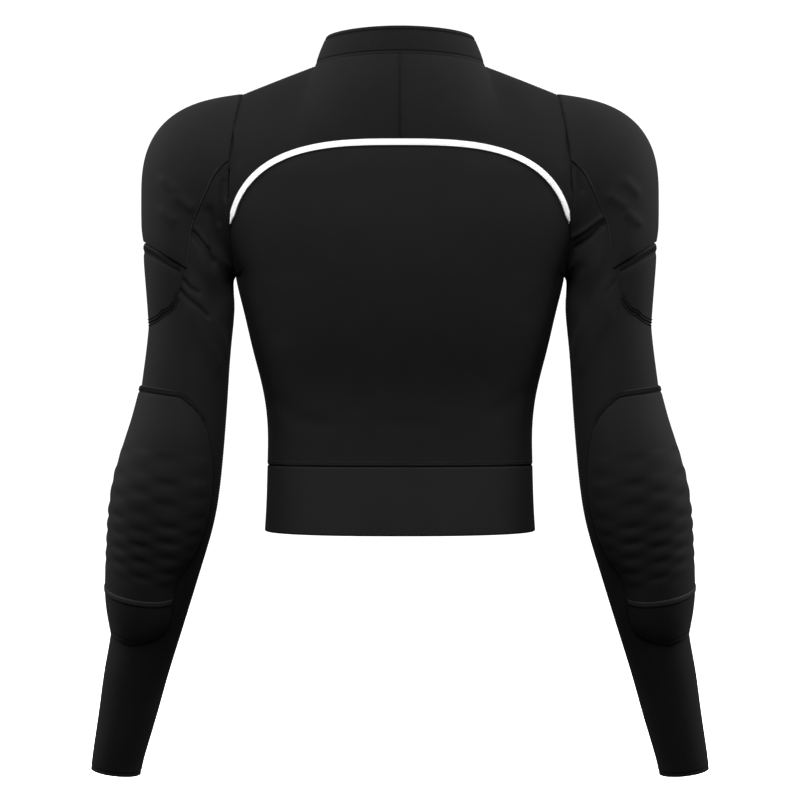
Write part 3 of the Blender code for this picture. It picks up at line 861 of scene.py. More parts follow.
@dataclass
class SleeveForm:
    """The left sleeve's surface: around is in degrees, 0 outside and 90 at the back."""

    torso: TorsoForm
    rings: tuple[Ring, ...] = (
        Ring(0.1882, 0.0000, -0.1614, 0.0581, 0.0455, 48.3, 0.0),
        Ring(0.1883, 0.0010, -0.2300, 0.0408, 0.0430, 26.5, 0.0),
        Ring(0.1933, 0.0040, -0.2900, 0.0388, 0.0425, 9.0, 0.0),
        Ring(0.1968, 0.0070, -0.3260, 0.0398, 0.0440, 6.0, -1.0),
        Ring(0.2042, 0.0080, -0.3640, 0.0438, 0.0460, 7.0, -4.0),
        Ring(0.2109, 0.0040, -0.4010, 0.0445, 0.0450, 8.0, -8.0),
        Ring(0.2179, -0.0040, -0.4380, 0.0407, 0.0420, 9.0, -11.0),
        Ring(0.2247, -0.0120, -0.4740, 0.0361, 0.0385, 10.0, -12.0),
        Ring(0.2313, -0.0210, -0.5100, 0.0312, 0.0350, 10.0, -12.0),
        Ring(0.2407, -0.0300, -0.5470, 0.0288, 0.0320, 10.0, -12.0),
        Ring(0.2490, -0.0370, -0.5840, 0.0264, 0.0292, 10.0, -11.0),
        Ring(0.2576, -0.0430, -0.6210, 0.0238, 0.0268, 9.0, -7.0),
        Ring(0.2610, -0.0460, -0.6400, 0.0229, 0.0258, 7.4, -2.0),
    )
    folds: tuple[Fold, ...] = (
        Fold(158, 0.15, 112, 1.05, 0.0030, 0.0075),
        Fold(175, 0.60, 128, 1.45, -0.0020, 0.0080),
        Fold(100, 1.55, 150, 2.10, 0.0022, 0.0070),
        Fold(98, 1.85, 140, 2.40, 0.0024, 0.0070),
        Fold(-150, 0.30, -112, 1.15, 0.0028, 0.0085),
        Fold(-120, 3.60, -60, 4.10, 0.0018, 0.0090),
        Fold(-125, 4.20, -65, 4.70, 0.0016, 0.0090),
    )
    cap_squareness: float = 2.9
    cap_slope: float = 0.17
    cap_tuck: float = 0.0002
    cap_gap: float = 0.00005
    cuff: float = 13.0
    probe: float = 0.03
    turn_probe: float = 1.5

    def __post_init__(self) -> None:
        """Fits the curve through the rings."""
        self.ring_at = Curve(range(1, len(self.rings) + 1), self.rings)

    def fold_height(self, around: Array, station: Array) -> Array:
        """How far the folds lift the cloth at a place on the sleeve."""
        total = np.zeros(np.broadcast(around, station).shape)
        for fold in self.folds:
            turned = (around - fold.around + 180) % 360 - 180
            here = laid_flat(turned, station - fold.station)
            line = laid_flat(fold.to_around - fold.around, fold.to_station - fold.station)
            share = np.clip(here @ line / (line @ line), 0, 1)
            away = np.linalg.norm(here - share[..., None] * line, axis=-1)
            total += fold.height * np.exp(-((away / fold.width) ** 2))
        return total

    def arm(self, around: Array, station: Array) -> Array:
        """Points below the cap, at stations from 1 to the cuff."""
        x, y, z, half_width, half_depth, tilt, lean = np.moveaxis(self.ring_at(station), -1, 0)
        tilt, lean, angle = np.radians(tilt), np.radians(lean), np.radians(around)
        outward = half_width * np.cos(angle)
        backward = half_depth * np.sin(angle)
        return np.stack(
            (
                x + np.cos(tilt) * outward,
                y + np.cos(lean) * backward,
                z + np.sin(tilt) * outward + np.sin(lean) * backward,
            ),
            axis=-1,
        )

    def cap(self, around: Array, station: Array) -> Array:
        """Points of the sleeve's cap, from the armhole at station 0 to station 1."""
        level = self.torso.armhole_level(around)
        back = self.torso.point(Face.BACK, np.ones(around.shape), level)
        front = self.torso.point(Face.FRONT, np.ones(around.shape), level)
        start = np.where(around[..., None] >= 0, back, front) + np.array((self.cap_gap, 0.0, 0.0))
        to_middle = np.stack((0 * level, -start[..., 1], self.torso.middle - start[..., 2]), axis=-1)
        tuck = self.cap_tuck * np.maximum(0.0, np.cos(np.radians(around)))
        start = start + unit(to_middle) * tuck[..., None]
        across = self.arm(around, np.ones(around.shape)) - start
        slope = -self.cap_slope * np.hypot(across[..., 0], across[..., 1])
        flat = np.stack((across[..., 0], across[..., 1], np.maximum(slope, across[..., 2])), axis=-1)
        drop = np.stack((0 * level, 0 * level, across[..., 2] - flat[..., 2]), axis=-1)
        angle = station * math.pi / 2
        out = np.sin(angle) ** (2 / self.cap_squareness)
        down = 1 - np.maximum(0.0, np.cos(angle)) ** (2 / self.cap_squareness)
        return start + flat * out[..., None] + drop * down[..., None]

    def smooth(self, around: Array, station: Array) -> Array:
        """Points of the outer surface without its folds."""
        around, station = np.broadcast_arrays(np.asarray(around, float), np.asarray(station, float))
        turned = (around + 180) % 360 - 180
        arm = self.arm(turned, np.maximum(station, 1.0))
        cap = self.cap(turned, np.clip(station, 0.0, 1.0))
        return np.where(station[..., None] >= 1, arm, cap)

    def out(self, around: Array, station: Array) -> Array:
        """Unit vectors straight out of the smooth surface."""
        low = np.clip(station - self.probe, 0.0, self.cuff)
        high = np.clip(station + self.probe, 0.0, self.cuff)
        along = self.smooth(around, high) - self.smooth(around, low)
        turned = self.smooth(around + self.turn_probe, station)
        across = turned - self.smooth(around - self.turn_probe, station)
        return unit(np.cross(along, across))

    def point(self, around: Array, station: Array, lift: Array | float = 0.0) -> Array:
        """Points of the folded surface, moved out by the lift.

        Args:
            around: Degrees round the arm.
            station: From 0 at the armhole to the cuff.
            lift: How far out of the cloth's surface.

        Returns:
            A point for each pair of values.
        """
        around, station = np.broadcast_arrays(np.asarray(around, float), np.asarray(station, float))
        away = self.fold_height(around, station) + lift
        return self.smooth(around, station) + self.out(around, station) * away[..., None]


# Sewing


@dataclass
class SeamPath:
    """A line on the cloth that threads are laid along, with its two edges."""

    middle: Array
    side: Array
    out: Array
    length: Array

    @classmethod
    def between(cls, one: Array, other: Array, lift: float) -> "SeamPath":
        """Makes a path midway between two lines on the cloth.

        Args:
            one: Points along the path's right edge as it runs on, seen from outside.
            other: As many points along its left edge.
            lift: How far above the cloth the path lies.

        Returns:
            The path.
        """
        middle = (one + other) / 2
        side = unit(other - one)
        forward = np.gradient(middle, axis=0)
        out = unit(np.cross(forward, side))
        steps = np.linalg.norm(np.diff(middle, axis=0), axis=1)
        return cls(middle + out * lift, side, out, np.concatenate(([0.0], np.cumsum(steps))))

    def read(self, at: Array, offset: Array) -> tuple[Array, Array]:
        """Points and outward vectors at lengths along the path and offsets to its left."""
        found = [
            np.stack([np.interp(at, self.length, values[:, k]) for k in range(3)], axis=-1)
            for values in (self.middle, self.side, self.out)
        ]
        return found[0] + found[1] * np.asarray(offset)[..., None], unit(found[2])


class Thread(NamedTuple):
    """The paths of many short threads of one kind, with the way out of the cloth at each point."""

    points: Array
    out: Array


class Stitch(NamedTuple):
    """A kind of stitch: its pitch, the gap to the next, its middle's rise and its thread's radius."""

    pitch: float
    gap: float
    rise: float
    radius: float


FLAT_STITCH = Stitch(0.0026, 0.0007, 0.0001, 0.00018)
CENTRE_STITCH = Stitch(0.0024, 0.0007, 0.0001, 0.00016)
EDGE_STITCH = Stitch(0.0026, 0.0008, 0.0001, 0.00018)
ARMHOLE_STITCH = Stitch(0.0026, 0.0007, 0.0002, 0.00020)
CUFF_STITCH = Stitch(0.0024, 0.0006, 0.0003, 0.00022)
BAND_STITCH = Stitch(0.0020, 0.0004, 0.0002, 0.00030)
ELBOW_STITCH = Stitch(0.0024, 0.0006, 0.0002, 0.00020)
SHOULDER_STITCH = Stitch(0.0024, 0.0003, 0.0002, 0.00034)
OVAL_STITCH = Stitch(0.0026, 0.0006, 0.0003, 0.00038)
NEEDLE_STITCH = Stitch(0.0018, 0.00025, 0.0003, 0.00036)
THREAD_SHARES = np.linspace(0.0, 1.0, THREAD_STEPS)


def threads_at(path: SeamPath, at: Array, offset: Array, rise: float) -> Thread:
    """Threads through places along and across a path, with their middles bowed out by the rise."""
    points, out = path.read(at, offset)
    lift = rise * (1 - (2 * THREAD_SHARES - 1) ** 4)
    return Thread(points + out * lift[None, :, None], out)


def stitched(path: SeamPath, offsets: Sequence[float], stitch: Stitch) -> list[Thread]:
    """Rows of stitches side by side.

    Args:
        path: What they follow.
        offsets: How far to the path's left each row lies.
        stitch: The kind of stitch.

    Returns:
        The stitches of each row.
    """
    starts = np.arange(int(path.length[-1] / stitch.pitch))[:, None] * stitch.pitch
    at = starts + stitch.gap / 2 + THREAD_SHARES * (stitch.pitch - stitch.gap)
    return [threads_at(path, at, np.full(at.shape, offset), stitch.rise) for offset in offsets]


def crossing(
    path: SeamPath, half: float, pitch: float, slant: float, rise: float, taper: float = 0.0
) -> Thread:
    """Cover threads from one edge of a seam to the other.

    Args:
        path: What they cross.
        half: Half the width that they span.
        pitch: From one to the next.
        slant: How far along one runs as it crosses, below zero for the other way.
        rise: How far a thread's middle stands above its ends.
        taper: How far from each end of the path the seam narrows to nothing.

    Returns:
        The threads.
    """
    count = int((path.length[-1] - abs(slant)) / pitch)
    at = np.arange(count)[:, None] * pitch + max(0.0, -slant) + THREAD_SHARES * slant
    near_end = np.minimum(at, path.length[-1] - at)
    width = half * (np.clip(near_end / taper, NARROWEST, 1.0) if taper else 1.0)
    return threads_at(path, at, (2 * THREAD_SHARES - 1) * width, rise)


def sewn(name: str, threads: Sequence[Thread], radius: float, sides: int = 4) -> bpy.types.Object:
    """Makes one piece of many short threads, each a copy of one bent rod.

    Args:
        name: The piece's name.
        threads: Their paths, all with the same number of points.
        radius: The threads' radius.
        sides: How many sides a thread has.

    Returns:
        The piece.
    """
    points = np.concatenate([thread.points for thread in threads])
    out = np.concatenate([thread.out for thread in threads])
    count, steps = points.shape[:2]
    rod = bmesh.new()
    bmesh.ops.create_cone(rod, cap_ends=True, segments=sides, radius1=1.0, radius2=1.0, depth=1.0)
    sides_up = [edge for edge in rod.edges if abs(edge.verts[0].co.z - edge.verts[1].co.z) > 0.5]
    bmesh.ops.subdivide_edges(rod, edges=sides_up, cuts=steps - 2)
    template = as_mesh("rod", rod)
    places = np.array([tuple(vertex.co) for vertex in template.vertices])
    step = np.rint((places[:, 2] + 0.5) * (steps - 1)).astype(int)
    forward = unit(np.gradient(points, axis=1))
    aside = unit(np.cross(forward, out))
    up = np.cross(aside, forward)
    narrow = np.where((step == 0) | (step == steps - 1), THREAD_TIP, 1.0) * radius
    ring = aside[:, step] * places[:, 0][:, None] + up[:, step] * places[:, 1][:, None]
    placed = points[:, step] + ring * narrow[:, None]
    bm = bmesh.new()
    for _ in range(count):
        bm.from_mesh(template)
    mesh = as_mesh(name, bm)
    bpy.data.meshes.remove(template)
    mesh.vertices.foreach_set("co", placed.astype(np.float32).ravel())
    around = np.arctan2(places[:, 1], places[:, 0]) / (2 * math.pi)
    along = step / (steps - 1) * np.linalg.norm(points[0, -1] - points[0, 0])
    map_lengths(mesh, np.tile(np.stack((around, along), axis=-1), (count, 1)))
    mesh.update()
    return shown(name, mesh)


def parallel(surface: Callable[[float], Array], lift: float = 0.0) -> SeamPath:
    """A path along a line of a surface that can be read a little to each side.

    Args:
        surface: Gives the line's points at an offset to its left, in metres.
        lift: How far above the cloth the path lies.

    Returns:
        The path.
    """
    return SeamPath.between(surface(-READ_ASIDE), surface(READ_ASIDE), lift)


# Sub-assemblies


@dataclass
class TorsoPanels:
    """The back, the two yokes and the front."""

    form: TorsoForm
    dresser: Dresser
    edge: float = 1 - INSIDE
    back_grid: tuple[int, int] = (150, 120)
    yoke_grid: tuple[int, int] = (84, 70)
    front_grid: tuple[int, int] = (120, 130)
    centre_rows: float = 0.0017
    centre_width: float = 0.15
    top_length: float = 0.045
    side_read: float = 0.97
    seam_rows: float = 0.0022
    centre_length: tuple[float, float, int] = (0.02, 0.98, 60)
    shoulder_length: tuple[float, float, int] = (0.51, 0.985, 40)
    side_ends: float = 0.01
    side_steps: int = 80
    back_cut: tuple[float, float] = (0.475, 0.284)
    back_area: float = 0.0925
    yoke_cut: tuple[float, float] = (0.203, 0.164)
    yoke_area: float = 0.0179
    front_cut: tuple[float, float] = (0.422, 0.405)
    front_area: float = 0.1274
    back_creases: tuple[Crease, ...] = (
        Crease(((148.5, -66), (145.5, -78), (142.5, -90)), -1.1, 4.2),
        Crease(((144, -62), (140, -78)), 0.9, 5),
        Crease(((-148, -70), (-144, -90)), -1, 4.5),
        Crease(((150.8, -98), (151.6, -108), (151.8, -121)), -2, 2.2),
        Crease(((-150.8, -96), (-151.6, -106), (-151.8, -116)), -1.2, 2.2),
        Crease(((136, -190), (118, -212), (108, -240)), -1.1, 8.5),
        Crease(((-134, -196), (-115, -222)), -1, 8),
        Crease(((109, -300), (90, -316), (64, -321)), -0.8, 7),
        Crease(((-110, -292), (-84, -310)), -0.8, 8),
        Crease(((20, -318), (-26, -322)), -0.6, 9),
    )
    front_creases: tuple[Crease, ...] = (
        Crease(((140, -95), (129, -118)), -1.4, 6, Face.FRONT),
        Crease(((-142, -100), (-128, -121)), -1.3, 6, Face.FRONT),
        Crease(((115, -262), (88, -283)), -1.2, 8, Face.FRONT),
        Crease(((-113, -268), (-85, -286), (-60, -291)), -1, 8, Face.FRONT),
    )

    def back(self) -> bpy.types.Object:
        """Makes the back below the arched seam."""
        u = closer_ends(self.edge, -self.edge, self.back_grid[0])
        v = closer_ends(INSIDE, self.edge, self.back_grid[1])[:, None] * self.form.arch_level(u)
        points = self.form.point(Face.BACK, u[None, :], v)
        points = tucked(creased(points, grid_normals(points), self.back_creases))
        piece = with_wall(bent_grid("back_shell", points), CLOTH)
        self.dresser.dress(piece, "cloth", Slot.CLOTH, ["back_panel"])
        return piece

    def yoke(self, hand: Hand) -> bpy.types.Object:
        """Makes one half of the upper back."""
        u = closer_ends(self.edge, 0.0, self.yoke_grid[0])
        share = closer_ends(INSIDE, self.edge, self.yoke_grid[1])
        low = self.form.arch_level(u)[None, :]
        points = handed(self.form.point(Face.BACK, u[None, :], low + (TOP - low) * share[:, None]), hand)
        at_centre = (False, True) if hand is Hand.LEFT else (True, False)
        points = tucked(creased(points, grid_normals(points), self.back_creases), at_centre)
        points[:, -1 if hand is Hand.LEFT else 0, 0] = 0.0
        piece = with_wall(bent_grid(f"yoke_shell_{hand.word}", points), CLOTH)
        # The yokes take the darker copy of the cloth, painted shade.
        self.dresser.dress(piece, "yoke", Slot.CLOTH, [f"yoke_{hand.word}"])
        return piece

    def front(self) -> bpy.types.Object:
        """Makes the front in one piece."""
        u = closer_ends(-self.edge, self.edge, self.front_grid[0])
        v = closer_ends(INSIDE, TOP - INSIDE, self.front_grid[1])
        points = self.form.point(Face.FRONT, u[None, :], v[:, None])
        points = tucked(creased(points, grid_normals(points), self.front_creases))
        piece = with_wall(bent_grid("front_shell", points), CLOTH)
        self.dresser.dress(piece, "cloth", Slot.CLOTH, ["front_panel"])
        return piece

    def seams(self) -> list[bpy.types.Object]:
        """Sews the centre back, the shoulders and the sides with twin rows of black stitches.

        Returns:
            The threads of each seam.
        """
        low = float(self.form.arch_level(np.array([0.0]))[0])
        v = low + (TOP - low) * np.linspace(*self.centre_length)
        share = np.linspace(*self.shoulder_length)
        side_top = float(self.form.armhole_level(180.0)) - self.side_ends
        height = np.linspace(self.side_ends, side_top, self.side_steps)
        centre = parallel(
            lambda offset: self.form.point(Face.BACK, np.full(v.shape, offset / self.centre_width), v)
        )
        rows = stitched(centre, (-self.centre_rows, self.centre_rows), CENTRE_STITCH)
        made = [sewn("centre_back_stitches", rows, CENTRE_STITCH.radius)]
        for hand in Hand:
            shoulder = parallel(lambda offset: self.beside_top(share, offset, hand))
            side = parallel(lambda offset: self.beside_side(height, offset, hand))
            for word, path in (("shoulder", shoulder), ("side", side)):
                rows = stitched(path, (-self.seam_rows, self.seam_rows), FLAT_STITCH)
                made.append(sewn(f"{word}_stitches_{hand.word}", rows, FLAT_STITCH.radius))
        for piece in made:
            self.dresser.dress(piece, "dull", Slot.CLOTH)
        return made

    def beside_top(self, share: Array, offset: float, hand: Hand) -> Array:
        """Points beside the shoulder seam, to the left of its way outwards for an offset above zero."""
        face = Face.BACK if offset * hand.value > 0 else Face.FRONT
        v = np.full(share.shape, TOP - abs(offset) / self.top_length)
        points = self.form.point(face, share, v)
        return points * np.array((hand.value, 1.0, 1.0))

    def beside_side(self, v: Array, offset: float, hand: Hand) -> Array:
        """Points beside the side seam, to the left of its way up for an offset above zero."""
        face = Face.FRONT if offset * hand.value > 0 else Face.BACK
        base = self.form.point(face, np.ones(v.shape), v)
        near = self.form.point(face, np.full(v.shape, self.side_read), v)
        return (base + unit(near - base) * abs(offset)) * np.array((hand.value, 1.0, 1.0))

    def build(self) -> None:
        """Makes every panel and its seams."""
        self.back()
        for hand in Hand:
            self.yoke(hand)
        self.front()
        self.seams()


def band_profile(height: float, thickness: float, rows: int, corner: int = 4) -> tuple[Array, Array]:
    """Goes once round the section of an upright band with rounded edges.

    Args:
        height: The band's height.
        thickness: Its thickness.
        rows: How many steps there are up each skin.
        corner: How many steps there are round each edge.

    Returns:
        The height and the depth inwards at each place, starting at the outer skin's foot and
        ending where it starts.
    """
    radius = thickness / 2
    up = np.linspace(radius, height - radius, rows + 1)
    turn = np.linspace(0, math.pi, corner + 1)[1:-1]
    over = height - radius + radius * np.sin(turn)
    under = radius - radius * np.sin(turn)
    heights = np.concatenate((up, over, up[::-1], under, up[:1]))
    inward = radius - radius * np.cos(turn)
    depths = np.concatenate((0 * up, inward, 0 * up + thickness, inward[::-1], [0.0]))
    return heights, depths


@dataclass
class Waistband:
    """The deep band of doubled cloth below the waist."""

    form: TorsoForm
    dresser: Dresser
    cloth: float = 0.0022
    dip: float = 0.001
    steps: int = 40
    half_turn: int = 110
    closer: float = 0.4
    normal_rows: int = 24
    seam_level: float = 0.012
    level_length: float = 0.25
    seam_rows: float = 0.0011
    cut: tuple[float, float] = (0.688, 0.060)
    area: float = 0.0400

    def build(self) -> None:
        """Makes the band and the stitches above it."""
        hem = self.form.sections[0].height
        height = self.form.waist_seam - SEAM_GAP / 2 - hem
        rises, depths = band_profile(height, self.cloth, self.steps)
        front = closer_ends(-1.0, 1.0, self.half_turn, self.closer)
        back = closer_ends(1.0, -1.0, self.half_turn, self.closer)[1:]
        levels = (hem + rises)[:, None]
        points = self.ring(front, back, levels) - self.grid_out(front, back, levels) * depths[:, None, None]
        piece = bent_grid("waistband_shell", points, closed=True)
        self.dresser.dress(piece, "band", Slot.CLOTH, ["waistband"])
        u = np.linspace(1.0, -1.0, EDGE_STEPS)
        rows = []
        for face, order in ((Face.FRONT, u[::-1]), (Face.BACK, u)):
            line = parallel(lambda offset: self.above(face, order, offset))
            rows += stitched(line, (-self.seam_rows, self.seam_rows), EDGE_STITCH)
        stitches = sewn("waist_stitches", rows, EDGE_STITCH.radius)
        # The waist stitches take the lighter black thread, a painted highlight.
        self.dresser.dress(stitches, "black", Slot.CLOTH)

    def above(self, face: Face, u: Array, offset: float) -> Array:
        """Points of the body along the band's seam, moved up by an offset."""
        return self.form.point(face, u, np.full(u.shape, self.seam_level + offset / self.level_length))

    def ring(self, front: Array, back: Array, levels: Array) -> Array:
        """Rows of points right round the band, up the front's columns and then the back's."""
        halves = (Face.FRONT, front), (Face.BACK, back)
        return np.concatenate([self.around(face, u[None, :], levels) for face, u in halves], axis=1)

    def around(self, face: Face, u: Array, level: Array) -> Array:
        """Points of the band's outer surface."""
        level = np.broadcast_to(level, np.broadcast(u, level).shape)
        points = self.form.low(face, np.abs(np.broadcast_to(u, level.shape)), level)
        points[..., 0] = np.copysign(points[..., 0], u)
        below = (self.form.waist_seam - level) / (self.form.waist_seam - self.form.sections[0].height)
        points[..., 2] -= self.dip * below * np.maximum(0.0, face.value * np.cos(u * math.pi / 2))
        return points

    def grid_out(self, front: Array, back: Array, levels: Array) -> Array:
        """Unit vectors out of the band at every level of its profile."""
        rising = np.linspace(float(levels.min()), float(levels.max()), self.normal_rows)[:, None]
        normals = grid_normals(self.ring(front, back, rising), wraps=True)
        place = (levels[:, 0] - rising[0, 0]) / (rising[-1, 0] - rising[0, 0]) * (len(rising) - 1)
        return normals[np.clip(np.rint(place).astype(int), 0, len(rising) - 1)]


class Groove(NamedTuple):
    """A soft line pressed into the collar: its share of the height, its reach and its depth."""

    at: float
    reach: float
    depth: float


@dataclass
class Collar:
    """The stand collar, a doubled band that leans in as it rises."""

    form: TorsoForm
    dresser: Dresser
    cloth: float = 0.0024
    turns: int = 200
    rows: int = 64
    edge_row: float = 0.0052
    tuck: float = 0.0018
    belly: float = 0.0008
    lift: float = 0.0004
    grooves: tuple[Groove, ...] = (Groove(0.850, 0.026, 0.0012), Groove(0.135, 0.024, 0.0009))
    cut: tuple[float, float] = (0.468, 0.033)
    area: float = 0.0136

    def build(self) -> None:
        """Makes the collar and the row of stitches under its edge."""
        angle = np.linspace(0, 2 * math.pi, self.turns + 1)
        foot, edge = self.form.neck_seam(angle), self.form.collar_edge(angle)
        rise = np.linalg.norm(edge - foot, axis=1)
        foot = foot - (edge - foot) / rise[:, None] * self.tuck
        mean_rise = float(rise.mean())
        heights, depths = band_profile(1.0, self.cloth / mean_rise, self.rows)
        base = foot + (edge - foot) * heights[:, None, None]
        out = grid_normals(foot + (edge - foot) * np.linspace(0, 1, 5)[:, None, None], wraps=True)[2]
        pressed = sum(
            line.depth * np.exp(-(((heights - line.at) / line.reach) ** 2)) for line in self.grooves
        )
        swell = self.belly * np.sin(math.pi * np.clip(heights, 0, 1))
        inward = depths * mean_rise + pressed * (depths == 0) - swell
        piece = bent_grid("collar_shell", base - out * inward[:, None, None], closed=True)
        # The collar takes the darker copy of the cloth, painted shade.
        self.dresser.dress(piece, "yoke", Slot.CLOTH, ["collar"])
        share = 1 - self.edge_row / rise[:, None]
        lift = out * self.lift
        line = parallel(lambda offset: foot + (edge - foot) * (share + offset / rise[:, None]) + lift)
        stitches = sewn("collar_stitches", stitched(line, (0.0,), EDGE_STITCH), EDGE_STITCH.radius)
        # The collar stitches take the darker black thread, painted shade.
        self.dresser.dress(stitches, "flat", Slot.CLOTH)


@dataclass
class YokeSeam:
    """The white flatlock seam along the arch of the upper back."""

    form: TorsoForm
    dresser: Dresser
    width: float = 0.0055
    reach: float = 0.956
    taper: float = 0.009
    steps: int = 400
    lift: float = 0.0007
    bed_rows: int = 7
    bed_rise: float = 0.0004
    bed_cloth: float = 0.0006
    bed_tip: float = 0.04
    cover_share: float = 0.94
    slant_share: float = 0.9
    cover_rises: tuple[float, float] = (0.0003, 0.0002)
    cover_radius: float = 0.00030
    thread_sides: int = 6
    needle_shares: tuple[float, ...] = (-0.9, -0.32, 0.32, 0.9)

    def line(self, offset: float) -> Array:
        """Points of the arch moved across by an offset, upwards for an offset below zero."""
        u = closer_ends(self.reach, -self.reach, self.steps, 0.5)
        v = self.form.arch_level(u)
        middle = self.form.point(Face.BACK, u, v)
        out = self.form.out(Face.BACK, u, v)
        across = unit(np.cross(out, np.gradient(middle, axis=0)))
        return middle + across * offset

    def build(self) -> None:
        """Makes the bed of looped thread and the threads over it."""
        path = parallel(self.line, self.lift)
        half = self.width / 2
        at = path.length
        near_end = np.clip(np.minimum(at, at[-1] - at) / self.taper, self.bed_tip, 1.0)
        grid = []
        for share in np.linspace(-1.0, 1.0, self.bed_rows):
            points, out = path.read(at, half * share * near_end)
            grid.append(points + out * (self.bed_rise * (1 - share**4) * near_end)[:, None])
        bed = with_wall(bent_grid("yoke_seam_bed", np.array(grid)), self.bed_cloth)
        # The bed is coloured as white thread in shade, painted shade.
        self.dresser.dress(bed, "bed", Slot.WHITE, ["yoke_seam_tape"])
        over = SeamPath(path.middle + path.out * self.bed_cloth, path.side, path.out, at)
        reach, pitch = half * self.cover_share, NEEDLE_STITCH.pitch
        slants = (pitch * self.slant_share, -pitch * self.slant_share)
        covers = [
            crossing(over, reach, pitch, slant, rise, self.taper)
            for slant, rise in zip(slants, self.cover_rises)
        ]
        kept = (at > self.taper) & (at < at[-1] - self.taper)
        inner = SeamPath(over.middle[kept], over.side[kept], over.out[kept], at[kept] - at[kept][0])
        needles = stitched(inner, [half * share for share in self.needle_shares], NEEDLE_STITCH)
        for name, threads, radius in (
            ("yoke_cover_threads", covers, self.cover_radius),
            ("yoke_needle_threads", needles, NEEDLE_STITCH.radius),
        ):
            self.dresser.dress(sewn(name, threads, radius, self.thread_sides), "white", Slot.WHITE)


class PadRow(NamedTuple):
    """The turns of a pad's back and front edges at a station of the sleeve."""

    station: float
    back: float
    front: float


@dataclass(frozen=True)
class Cells:
    """Rounded cells pressed up through a pad, with dents between them in staggered rows."""

    rows: tuple[float, ...]
    rise: float
    columns: tuple[float, ...] = (-60.0, -28.0, 4.0, 35.0, 67.5, 95.0, 131.0, 163.0)
    drift: float = 8.5
    middle: float = 5.8
    fade: float = 0.6
    dent: float = 1.25
    crown: float = 0.75
    evenness: float = 0.85
    waves: tuple[tuple[float, float, float], ...] = ((0.18, 5.3, 0.06), (0.15, 2.1, -0.11))

    def height(self, turn: Array, station: Array) -> Array:
        """How far the cells rise at a place on the sleeve."""
        if not self.rows:
            return np.zeros(np.broadcast(turn, station).shape)
        row = np.interp(station, self.rows, np.arange(len(self.rows)))
        straight = turn - self.drift * (station - self.middle)
        column = np.interp(straight, self.columns, np.arange(len(self.columns)))
        wave = np.cos(math.pi * row) * np.cos(math.pi * column)
        wave = np.where(wave > 0, -self.dent * wave, -self.crown * wave)
        ends = np.minimum(station - self.rows[0] + self.fade / 2, self.rows[-1] + self.fade / 2 - station)
        inside = np.clip(ends / self.fade, 0, 1)
        uneven = self.evenness
        for size, along, round_arm in self.waves:
            uneven = uneven + size * np.sin(station * along + turn * round_arm)
        return self.rise * wave * uneven * inside * inside * (3 - 2 * inside)


